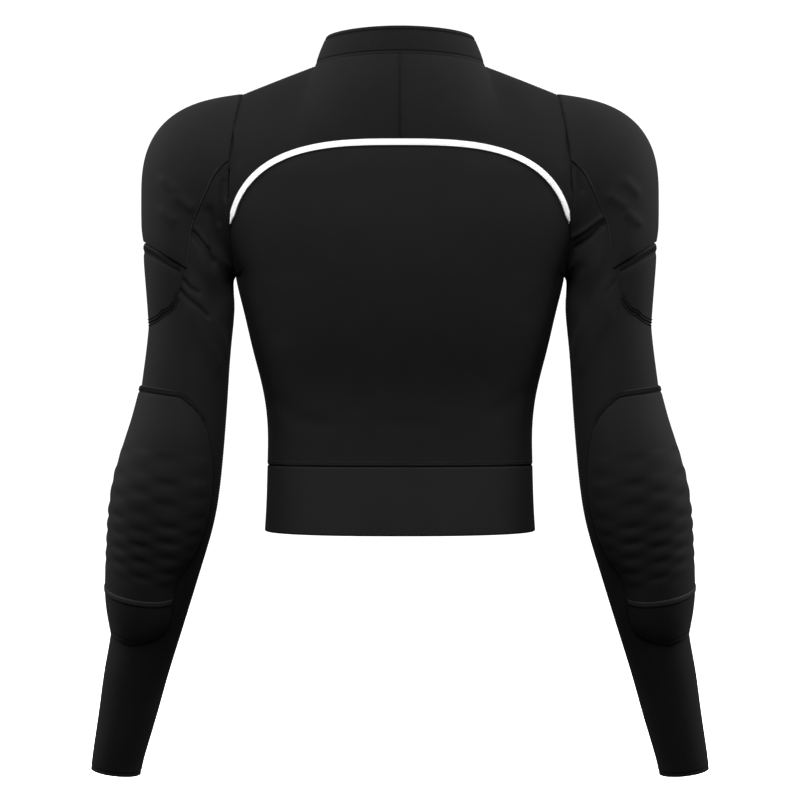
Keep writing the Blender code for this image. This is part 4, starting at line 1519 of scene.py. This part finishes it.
@dataclass(frozen=True)
class PadShape:
    """A foam pad on the sleeve, thin at its rim and full past its fades."""

    stem: str
    rows: tuple[PadRow, ...]
    rim: float
    full: float
    head_fade: float
    foot_fade: float
    side_fade: float
    bow: float
    cells: Cells
    grid_steps: tuple[int, int]
    fill: float = 0.8
    finish: str = "pad"
    seat: float = 0.0002
    edge: float = 0.0002
    corner: float = 0.16
    head_keep: float = 0.0
    foot_keep: float = 0.0
    band: float = 0.0
    band_end: float = 0.0
    groove: float = 0.0006
    groove_reach: float = 0.0007
    narrowest: float = 0.0008
    outline_steps: tuple[int, int] = (500, 120)

    @property
    def first(self) -> float:
        """The station of the pad's head."""
        return self.rows[0].station

    @property
    def last(self) -> float:
        """The station of the pad's foot."""
        return self.rows[-1].station

    def edges(self, station: Array) -> tuple[Array, Array]:
        """The turns of the back and the front edge at a station."""
        stops, *columns = np.array(self.rows).T
        ends = np.minimum(station - self.first, self.last - station)
        reach = np.clip(ends, 0.0, self.corner)
        back, front = (smooth_rows(station, stops, column, reach) for column in columns)
        return back, front

    def inset(self, turn: Array, station: Array) -> Array:
        """How far a place lies from the pad's outline, in metres."""
        along = np.linspace(self.first, self.last, self.outline_steps[0])
        back, front = self.edges(along)
        share = np.linspace(0, 1, self.outline_steps[1])
        head = front[0] + (back[0] - front[0]) * share
        foot = front[-1] + (back[-1] - front[-1]) * share
        turns = np.concatenate((head, back, foot, front))
        stations = np.concatenate((0 * share + self.first, along, 0 * share + self.last, along))
        here = laid_flat(turn, station)
        away = np.full(here.shape[:-1], FAR)
        for place in laid_flat(turns, stations):
            away = np.minimum(away, ((here - place) ** 2).sum(axis=-1))
        return np.sqrt(away)

    def thickness(self, turn: Array, station: Array) -> Array:
        """How thick the pad is at a place, before its cross lines are bowed."""
        back, front = self.edges(station)
        away = (
            (np.radians(np.minimum(turn - front, back - turn)) * ARM_RADIUS, self.side_fade, 0.0),
            ((station - self.first) * STATION_LENGTH, self.head_fade, self.head_keep),
            ((self.last - station) * STATION_LENGTH, self.foot_fade, self.foot_keep),
        )
        full = np.ones(np.broadcast(turn, station).shape)
        for distance, fade, keep in away:
            full = full * (keep + (1 - keep) * (1 - (1 - np.clip(distance / fade, 0, 1)) ** 2))
        height = self.rim + (self.full - self.rim) * full + self.cells.height(turn, station) * full
        if self.band:
            width = self.band * np.clip((self.band_end - station) / 0.5, 0, 1)
            pressed = np.exp(-(((self.inset(turn, station) - width) / self.groove_reach) ** 2))
            height = height - self.groove * pressed * (width > self.narrowest)
        return height

    def grid(self, form: SleeveForm) -> tuple[Array, Array]:
        """The pad's top and bottom points, which share their outer ring."""
        across = closer_ends(0.0, 1.0, self.grid_steps[0], 0.6)
        station = closer_ends(self.first, self.last, self.grid_steps[1], 0.5)[::-1]
        back, front = self.edges(station)
        turn = back[:, None] + (front - back)[:, None] * across[None, :]
        along = np.broadcast_to(station[:, None], turn.shape)
        place = np.maximum(0.0, along - self.bow * (turn / 90) ** 2)
        height = self.thickness(turn, along)
        ring = np.zeros(height.shape)
        for skin in (height, ring):
            skin[[0, -1]] = skin[:, [0, -1]] = self.edge
        return form.point(turn, place, self.seat + height), form.point(turn, place, self.seat + ring)

    def on_top(self, form: SleeveForm, turn: Array, station: Array, lift: float = 0.0) -> Array:
        """Points on the pad's top, or on the sleeve past its edge, given before the bow."""
        back, front = self.edges(station)
        inside = (turn <= back) & (turn >= front) & (station >= self.first) & (station <= self.last)
        height = np.where(inside, self.seat + self.thickness(turn, station), 0.0)
        return form.point(turn, np.maximum(0.0, station - self.bow * (turn / 90) ** 2), height + lift)


NO_CELLS = Cells((), 0.0)
ELBOW_CELL_ROWS = (
    4.47, 4.62, 4.95, 5.13, 5.37, 5.57, 5.83, 6.04, 6.20, 6.39, 6.54, 6.74, 6.90, 7.09, 7.28, 7.46
)
SHOULDER_PAD = PadShape(
    stem="shoulder_pad",
    rows=(
        PadRow(0.0015, 75, -70),
        PadRow(0.10, 81, -75),
        PadRow(0.20, 89, -81),
        PadRow(0.51, 98, -87),
        PadRow(0.85, 97, -88),
        PadRow(1.15, 94, -86),
        PadRow(1.395, 90, -83),
    ),
    rim=0.0006,
    full=0.0056,
    head_fade=0.036,
    foot_fade=0.006,
    foot_keep=0.70,
    side_fade=0.020,
    bow=0.08,
    cells=NO_CELLS,
    grid_steps=(110, 100),
)
ARM_PAD = PadShape(
    stem="arm_pad",
    rows=(
        PadRow(1.400, 86, -80),
        PadRow(1.55, 83, -78),
        PadRow(1.72, 80, -75),
        PadRow(1.89, 75, -70),
        PadRow(2.05, 64, -60),
        PadRow(2.15, 48, -45),
        PadRow(2.20, 26, -24),
        PadRow(2.22, 8, -8),
    ),
    rim=0.0002,
    full=0.0048,
    head_fade=0.008,
    head_keep=0.72,
    foot_fade=0.030,
    side_fade=0.030,
    band=0.0042,
    band_end=1.9,
    bow=0.08,
    cells=NO_CELLS,
    grid_steps=(90, 56),
)
ELBOW_PAD = PadShape(
    stem="elbow_pad",
    rows=(
        PadRow(3.03, 84, -44),
        PadRow(3.07, 97, -52),
        PadRow(3.30, 113, -62),
        PadRow(3.58, 125, -65),
        PadRow(4.03, 134, -66),
        PadRow(4.45, 142, -62),
        PadRow(4.83, 148, -58),
        PadRow(5.26, 151, -53),
        PadRow(5.80, 150, -46),
        PadRow(6.34, 147, -41),
        PadRow(6.84, 139, -37),
        PadRow(7.09, 128, -34),
        PadRow(7.49, 122, -31),
        PadRow(7.93, 127, -28),
        PadRow(8.50, 129, -25),
        PadRow(8.80, 116, -16),
        PadRow(9.00, 88, 4),
        PadRow(9.08, 66, 24),
    ),
    rim=0.0010,
    full=0.0064,
    head_fade=0.050,
    foot_fade=0.040,
    side_fade=0.026,
    bow=0.0,
    cells=Cells(ELBOW_CELL_ROWS, 0.00062),
    grid_steps=(110, 230),
    band=0.0044,
    band_end=4.2,
    finish="elbow",
)


class EdgeLine(NamedTuple):
    """A sewn stretch of a pad's edge: its stations, the ends it crosses, how far in and up it lies."""

    first: float
    last: float
    head: bool
    foot: bool
    inwards: float
    lift: float
    front_alone: bool = False


ELBOW_HEAD = EdgeLine(3.05, 3.75, True, False, 0.0014, 0.0001)
ELBOW_SIDES = EdgeLine(3.72, 8.95, False, True, 0.0010, 0.0001)
SHOULDER_BACK = EdgeLine(0.12, 1.39, False, False, 0.0008, 0.0002)
SHOULDER_FRONT = EdgeLine(0.12, 1.39, True, True, 0.0008, 0.0002, front_alone=True)
ARM_FOOT = EdgeLine(1.78, 2.21, False, True, 0.0, 0.0002)


@dataclass
class Sleeve:
    """One sleeve with its pads, its seams and the grey tape at its elbow pad."""

    form: SleeveForm
    dresser: Dresser
    hand: Hand
    creases: tuple[Crease, ...]
    dents: tuple[Crease, ...]
    hem: float = 0.0095
    hem_cloth: float = 0.0022
    cut: tuple[float, float] = (0.431, 0.675)
    area: float = 0.143
    stripe_station: float = 7.98
    stripe_width: float = 0.0048
    stripe_bow: float = 0.09
    stripe_across: tuple[float, float, int] = (0.03, 0.97, 120)
    stripe_shares: tuple[float, ...] = (1.0, 0.7, 0.0, -0.7, -1.0)
    stripe_rise: float = 0.0002
    stripe_cloth: float = 0.0003
    end_room: float = 0.03
    hem_step: float = 0.0010
    head_groove: tuple[float, float] = (0.0002, 0.0003)
    hem_groove: tuple[float, float] = (0.0006, 0.0009)
    cuff_station: float = 0.0235
    stitch_lift: float = 0.0002
    band_half: float = 0.0020
    band_slant: float = 0.0016
    band_needles: float = 0.9
    corner_passes: int = 12
    corner_steps: int = 60
    turn_stops: tuple[tuple[float, float], ...] = ((-180.0, 2.2), (30.0, 1.35))
    station_stops: tuple[tuple[float, float], ...] = ((0.0, 0.012), (0.1, 0.028), (2.6, 0.060))
    inner_steps: int = 70
    hem_steps: int = 7
    foot_turns: tuple[float, float, int] = (82.0, -78.0, 200)
    foot_station: float = 1.446
    foot_lift: float = 0.0001
    oval_rows: tuple[float, ...] = (-0.0027, 0.0, 0.0027)
    armhole_turns: tuple[float, float, int] = (178.0, -178.0, 300)
    armhole_station: float = 0.045
    armhole_length: float = 0.09
    armhole_rows: tuple[float, ...] = (-0.0014, 0.0014)
    underarm_stations: tuple[float, float, int] = (0.15, 12.7, 420)
    underarm_rows: tuple[float, ...] = (-0.0016, 0.0016)
    cuff_turns: tuple[float, float, int] = (180.0, -180.0, 160)

    def placed(self, points: Array) -> Array:
        """The left sleeve's points on this sleeve's side."""
        return handed(points, self.hand)

    def skin(self) -> bpy.types.Object:
        """Makes the tube of cloth from the armhole to the cuff, with both its skins and its hem."""
        form = self.form
        turns = stepped(self.turn_stops, 180.0)[::-1]
        end = form.cuff - self.end_room
        outer = stepped(self.station_stops, end)
        inner = np.linspace(0.0, end, self.inner_steps)
        radius = self.hem_cloth / 2
        corner = np.linspace(0, math.pi, self.hem_steps)[1:-1]
        beyond = end + radius * np.sin(corner) / STATION_LENGTH
        stations = np.concatenate((inner, beyond, outer[::-1], inner[:1]))
        hemmed = np.clip((self.hem - (form.cuff - inner) * STATION_LENGTH) / self.hem_step + 1, 0, 1)
        inner_depth = CLOTH + (self.hem_cloth - CLOTH) * hemmed
        depth = np.concatenate((inner_depth, radius + radius * np.cos(corner), 0 * outer, inner_depth[:1]))
        from_cuff = (form.cuff - stations) * STATION_LENGTH
        tuck = 0 * stations
        for away, (deep, reach) in (
            (stations * STATION_LENGTH, self.head_groove),
            (from_cuff - self.hem, self.hem_groove),
        ):
            tuck = tuck + deep * np.exp(-((away / reach) ** 2))
        tuck = np.where(depth == 0, tuck, 0.0)
        along = np.minimum(stations, form.cuff)[:, None]
        points = form.point(turns[None, :], along, -(depth + tuck)[:, None])
        points[..., 2] -= np.maximum(0.0, -from_cuff)[:, None]
        points = self.placed(points)
        out = form.out(turns[None, :], along)
        points = creased(points, self.placed(out), self.creases)
        piece = bent_grid(f"sleeve_shell_{self.hand.word}", points, closed=True)
        return self.dresser.dress(piece, "cloth", Slot.CLOTH, [f"sleeve_{self.hand.word}"])

    def pad(self, shape: PadShape) -> bpy.types.Object:
        """Makes one foam pad as a closed form that lies on the sleeve."""
        top, bottom = shape.grid(self.form)
        placed = self.placed(top)
        dented = creased(placed, grid_normals(placed), self.dents if shape is SHOULDER_PAD else ())
        placed[1:-1, 1:-1] = dented[1:-1, 1:-1]
        skins = [
            bent_grid(f"{shape.stem}_top", placed),
            bent_grid(f"{shape.stem}_bottom", self.placed(bottom)[:, ::-1]),
        ]
        piece = join_as(f"{shape.stem}_form_{self.hand.word}", skins, closed=True)
        self.dresser.dress(piece, shape.finish, Slot.PAD, [f"{shape.stem}_{self.hand.word}"])
        return piece

    def stripe(self) -> bpy.types.Object:
        """Makes the narrow tape that crosses the elbow pad near its foot."""
        half = self.stripe_width / 2 / STATION_LENGTH
        across = np.linspace(*self.stripe_across)
        rows = []
        for share in self.stripe_shares:
            station = np.full(across.shape, self.stripe_station + half * share)
            back, front = ELBOW_PAD.edges(station)
            turn = back + (front - back) * across
            place = station - self.stripe_bow * (turn / 90) ** 2
            lift = self.stripe_rise * (2 - share**4)
            rows.append(ELBOW_PAD.on_top(self.form, turn, place, lift))
        tape = bent_grid(f"elbow_tape_{self.hand.word}", self.placed(np.array(rows)))
        with_wall(tape, self.stripe_cloth)
        return self.dresser.dress(tape, "tape", Slot.TAPE, [f"elbow_stripe_{self.hand.word}"])

    def path(self, surface: Callable[[float], Array], lift: float = 0.0) -> SeamPath:
        """A path on this sleeve's side."""
        mirror = np.array((self.hand.value, 1.0, 1.0))
        return parallel(lambda offset: surface(offset * self.hand.value) * mirror, lift)

    def beside(self, shape: PadShape, line: Array, offset: float) -> Array:
        """Points beside a line of turns and stations on a pad, outwards for an offset above zero."""
        flat = laid_flat(line[:, 0], line[:, 1])
        forward = unit(np.gradient(flat, axis=0))
        aside = np.stack((forward[:, 1], -forward[:, 0]), axis=-1)
        across, down = (flat + aside * offset).T
        return shape.on_top(self.form, np.degrees(across / ARM_RADIUS), down / STATION_LENGTH)

    def along(self, shape: PadShape, edge: EdgeLine) -> SeamPath:
        """A path beside a stretch of a pad's edge."""
        line = self.outline(shape, edge)
        if edge.front_alone:
            line = line[-EDGE_STEPS:]
        return self.path(lambda offset: self.beside(shape, line, offset - edge.inwards), edge.lift)

    def round_arm(self, turns: Array, station: float, length: float, lift: float = 0.0) -> SeamPath:
        """A path round the sleeve at a station, where one station has this length."""
        return self.path(
            lambda offset: self.form.point(turns, np.full(turns.shape, station + offset / length), lift)
        )

    def pad_foot(self, offset: float) -> Array:
        """Points across the arm pad, just below the shoulder pad's foot, moved down by an offset."""
        turns = np.linspace(*self.foot_turns)
        station = np.full(turns.shape, self.foot_station + offset / STATION_LENGTH)
        return ARM_PAD.on_top(self.form, turns, station)

    def banded(self, path: SeamPath) -> list[Thread]:
        """Cover threads both ways across a path, and a row of needle thread along each edge."""
        pitch, rise = BAND_STITCH.pitch, BAND_STITCH.rise
        slants = (self.band_slant, -self.band_slant)
        covers = [crossing(path, self.band_half, pitch, slant, rise) for slant in slants]
        aside = self.band_half * self.band_needles
        return covers + stitched(path, (-aside, aside), BAND_STITCH)

    def outline(self, shape: PadShape, edge: EdgeLine) -> Array:
        """A stretch of a pad's edge as turns and stations, with its corners rounded.

        Args:
            shape: The pad.
            edge: Where its sides start and end, and which of the pad's ends it crosses.

        Returns:
            The line, with the pad on its right as it runs down the back edge.
        """
        station = np.linspace(edge.first, edge.last, EDGE_STEPS)
        back, front = shape.edges(station)
        down = np.stack((back, station), axis=-1)
        up = np.stack((front, station), axis=-1)[::-1]
        share = np.linspace(0, 1, self.corner_steps)[1:-1, None]
        parts = [down]
        if edge.head:
            parts.insert(0, up[-1] + (down[0] - up[-1]) * share)
        if edge.foot:
            parts += [down[-1] + (up[0] - down[-1]) * share, up]
        elif edge.head:
            parts.insert(0, up)
        line = np.concatenate(parts)
        for _ in range(self.corner_passes):
            line[1:-1] = (line[:-2] + 2 * line[1:-1] + line[2:]) / 4
        return line

    def seams(self) -> list[bpy.types.Object]:
        """Sews the pads' edges, the armhole, the underarm and the cuff.

        Returns:
            The threads of each seam.
        """
        lift = self.stitch_lift
        head = self.along(ELBOW_PAD, ELBOW_HEAD)
        sides = self.along(ELBOW_PAD, ELBOW_SIDES)
        rims = [self.along(SHOULDER_PAD, edge) for edge in (SHOULDER_BACK, SHOULDER_FRONT)]
        rim_rows = [row for rim in rims for row in stitched(rim, (0.0,), SHOULDER_STITCH)]
        foot = self.path(self.pad_foot, self.foot_lift)
        oval = self.along(ARM_PAD, ARM_FOOT)
        armhole_turns = np.linspace(*self.armhole_turns)
        armhole = self.round_arm(armhole_turns, self.armhole_station, self.armhole_length)
        armhole_rows = stitched(armhole, self.armhole_rows, ARMHOLE_STITCH)
        down = np.linspace(*self.underarm_stations)
        under = self.path(lambda offset: self.form.point(180.0 + math.degrees(offset / ARM_RADIUS), down))
        hem = self.form.cuff - (self.hem - lift) / self.cuff_station
        cuff = self.round_arm(np.linspace(*self.cuff_turns), hem, STATION_LENGTH, -lift)
        table = (
            ("elbow_pad_band", self.banded(head), BAND_STITCH, "dull"),
            # The elbow pad seam takes the darker black thread, painted shade.
            ("elbow_pad_seam", stitched(sides, (0.0,), ELBOW_STITCH), ELBOW_STITCH, "flat"),
            # The shoulder pad seam takes the lighter black thread, a painted highlight.
            ("shoulder_pad_seam", rim_rows, SHOULDER_STITCH, "black"),
            ("shoulder_pad_band", self.banded(foot), BAND_STITCH, "dull"),
            # The arm pad stitches take the darker black thread, painted shade.
            ("arm_pad_stitches", stitched(oval, self.oval_rows, OVAL_STITCH), OVAL_STITCH, "flat"),
            ("armhole_stitches", armhole_rows, ARMHOLE_STITCH, "dull"),
            ("underarm_stitches", stitched(under, self.underarm_rows, FLAT_STITCH), FLAT_STITCH, "dull"),
            ("cuff_stitches", stitched(cuff, (0.0,), CUFF_STITCH), CUFF_STITCH, "dull"),
        )
        return [
            self.dresser.dress(sewn(f"{stem}_{self.hand.word}", threads, stitch.radius), finish, Slot.CLOTH)
            for stem, threads, stitch, finish in table
        ]

    def build(self) -> None:
        """Makes the sleeve and everything on it."""
        skin = self.skin()
        pads = [self.pad(shape) for shape in (SHOULDER_PAD, ARM_PAD, ELBOW_PAD)]
        with_pieces = pads + [self.stripe()] + self.seams()


LEFT_CREASES = (
    Crease(((180, -148.5), (175, -155), (169.4, -162.9)), 1.7, 2.1),
    Crease(((182.5, -152), (177, -159), (170.3, -166.8), (164, -176)), -2.7, 2.6),
    Crease(((191.4, -193.1), (185.1, -200.2), (177.3, -204.4)), -2.1, 1.9),
    Crease(((194.1, -202.6), (185.2, -211.6), (176.3, -217.8), (169.6, -224.6)), -2.1, 2),
    Crease(((151.2, -98), (152, -108), (152.2, -121)), -2.2, 2.2),
    Crease(((154.5, -108), (158, -125), (159, -142)), -1.8, 3),
    Crease(((169, -134), (165, -152), (164, -178)), -2.2, 5.6),
)
RIGHT_CREASES = (
    Crease(((-152.1, -154.8), (-164, -148), (-179.1, -136.8)), 1.6, 1.9),
    Crease(((-156, -164), (-168, -156), (-180, -144)), -1.8, 2.1),
    Crease(((-153, -93.6), (-156, -104), (-159.3, -114.3)), -1.5, 2.2),
    Crease(((-190, -194), (-181, -205)), -0.8, 2),
    Crease(((-162, -164), (-160, -182)), -1, 4.8),
)
LEFT_DENTS = (
    Crease(((184.8, -102.6), (176, -108.8)), -1.5, 4.1),
    Crease(((205.9, -106.1), (196.2, -114)), -1.8, 4.3),
    Crease(((194.4, -119.3), (181.2, -128.1)), -1.8, 4.5),
    Crease(((205, -130.8), (194.4, -137.8)), -2, 4.2),
    Crease(((217.3, -113.2), (210.3, -119.3)), -1.7, 4.1),
    Crease(((217.3, -136), (210.3, -141.3)), -1.7, 4.1),
    Crease(((188.3, -142.2), (181.2, -149.2)), -1.1, 3.8),
    Crease(((208, -105), (199, -113)), -1.5, 4.3, Face.FRONT),
    Crease(((195, -121), (185, -129)), -1.7, 4.5, Face.FRONT),
    Crease(((209, -133), (200, -140)), -1.4, 4.1, Face.FRONT),
)
RIGHT_DENTS = (
    Crease(((-179, -102), (-188, -107.5)), -1.4, 4.1),
    Crease(((-198, -107.5), (-207, -115)), -1.7, 4.2),
    Crease(((-183, -118), (-195, -125)), -1.7, 4.5),
    Crease(((-195, -130), (-206, -136)), -1.8, 4.2),
    Crease(((-211, -119), (-218, -124.5)), -1.5, 4.1),
    Crease(((-210, -139), (-217.5, -144)), -1.5, 4.1),
    Crease(((-184, -140), (-190, -147)), -1.1, 3.8),
    Crease(((-200, -107), (-208, -115)), -1.5, 4.3, Face.FRONT),
    Crease(((-186, -120), (-196, -127)), -1.7, 4.5, Face.FRONT),
    Crease(((-201, -135), (-210, -142)), -1.4, 4.1, Face.FRONT),
)


# Studio


class Lamp(NamedTuple):
    """A square soft light: where it hangs, its turn in degrees, its side and its power."""

    name: str
    place: tuple[float, float, float]
    turn: tuple[float, float, float]
    size: float
    watts: float


@dataclass
class Studio:
    """A pale floor, soft lights, and the camera behind the wearer."""

    distance: float = 2.2
    height: float = -0.2988
    lens: float = 110.0
    floor_level: float = -0.70
    floor_size: float = 9.0
    floor_glow: float = 1.1
    floor_colour: Colour = (0.9, 0.9, 0.9)
    sensor: float = 36.0
    fill: float = 0.11
    backdrop: float = 1.10
    lamps: tuple[Lamp, ...] = (
        Lamp("key", (0.06, 0.84, 0.68), (-47.0, 0.0, 3.0), 0.9, 37.0),
        Lamp("rim_left", (1.5, -0.3, 0.55), (0.0, 66.0, 0.0), 1.0, 48.0),
        Lamp("rim_right", (-1.5, -0.3, 0.55), (0.0, -66.0, 0.0), 1.0, 56.0),
    )

    def camera(self) -> None:
        """Places the camera level behind the wearer."""
        data = bpy.data.cameras.new("camera")
        data.lens = self.lens
        data.sensor_width = self.sensor
        camera = bpy.data.objects.new("camera", data)
        camera.location = (0.0, self.distance, self.height)
        camera.rotation_euler = (math.pi / 2, 0.0, math.pi)
        bpy.context.scene.collection.objects.link(camera)
        bpy.context.scene.camera = camera

    def floor(self) -> None:
        """Makes the pale floor."""
        bm = bmesh.new()
        bmesh.ops.create_grid(bm, x_segments=8, y_segments=8, size=self.floor_size)
        bmesh.ops.translate(bm, verts=bm.verts, vec=(0.0, 0.0, self.floor_level))
        mesh = as_mesh("floor", bm)
        floor = bpy.data.objects.new("floor", mesh)
        bpy.context.scene.collection.objects.link(floor)
        look = Shading("pale_floor")
        look.shaded(self.floor_colour, look.noise(3.0), (0.98, 1.02))
        look.set(Roughness=0.9, Emission_Strength=self.floor_glow)
        look.shader.inputs["Emission Color"].default_value = (1.0, 1.0, 1.0, 1.0)
        mesh.materials.append(look.material)
        floor.visible_diffuse = False
        floor.visible_glossy = False

    def light(self, lamp: Lamp) -> None:
        """Hangs one square soft light."""
        data = bpy.data.lights.new(lamp.name, "AREA")
        data.shape = "SQUARE"
        data.size = lamp.size
        data.energy = lamp.watts
        hung = bpy.data.objects.new(lamp.name, data)
        hung.location = lamp.place
        hung.rotation_euler = tuple(math.radians(angle) for angle in lamp.turn)
        bpy.context.scene.collection.objects.link(hung)

    def sky(self) -> None:
        """Makes a white backdrop that lights the shirt only a little."""
        world = bpy.data.worlds.new("backdrop")
        world.use_nodes = True
        tree = world.node_tree
        background = tree.nodes["Background"]
        background.inputs["Color"].default_value = (1.0, 1.0, 1.0, 1.0)
        path = tree.nodes.new("ShaderNodeLightPath")
        mix = tree.nodes.new("ShaderNodeMapRange")
        mix.inputs["To Min"].default_value = self.fill
        mix.inputs["To Max"].default_value = self.backdrop
        tree.links.new(path.outputs["Is Camera Ray"], mix.inputs["Value"])
        tree.links.new(mix.outputs[0], background.inputs["Strength"])
        bpy.context.scene.world = world

    def build(self) -> None:
        """Makes the studio."""
        bpy.context.scene.view_settings.view_transform = "Standard"
        self.camera()
        self.floor()
        self.sky()
        for lamp in self.lamps:
            self.light(lamp)


def main() -> None:
    """Builds the shirt and its studio."""
    logging.basicConfig(level=logging.INFO, format="%(name)s: %(message)s")
    dresser = Dresser(Wardrobe())
    torso = TorsoForm()
    arm = SleeveForm(torso)
    TorsoPanels(torso, dresser).build()
    Waistband(torso, dresser).build()
    Collar(torso, dresser).build()
    YokeSeam(torso, dresser).build()
    Sleeve(arm, dresser, Hand.LEFT, LEFT_CREASES, LEFT_DENTS).build()
    Sleeve(arm, dresser, Hand.RIGHT, RIGHT_CREASES, RIGHT_DENTS).build()
    Studio().build()


if __name__ == "__main__":
    main()
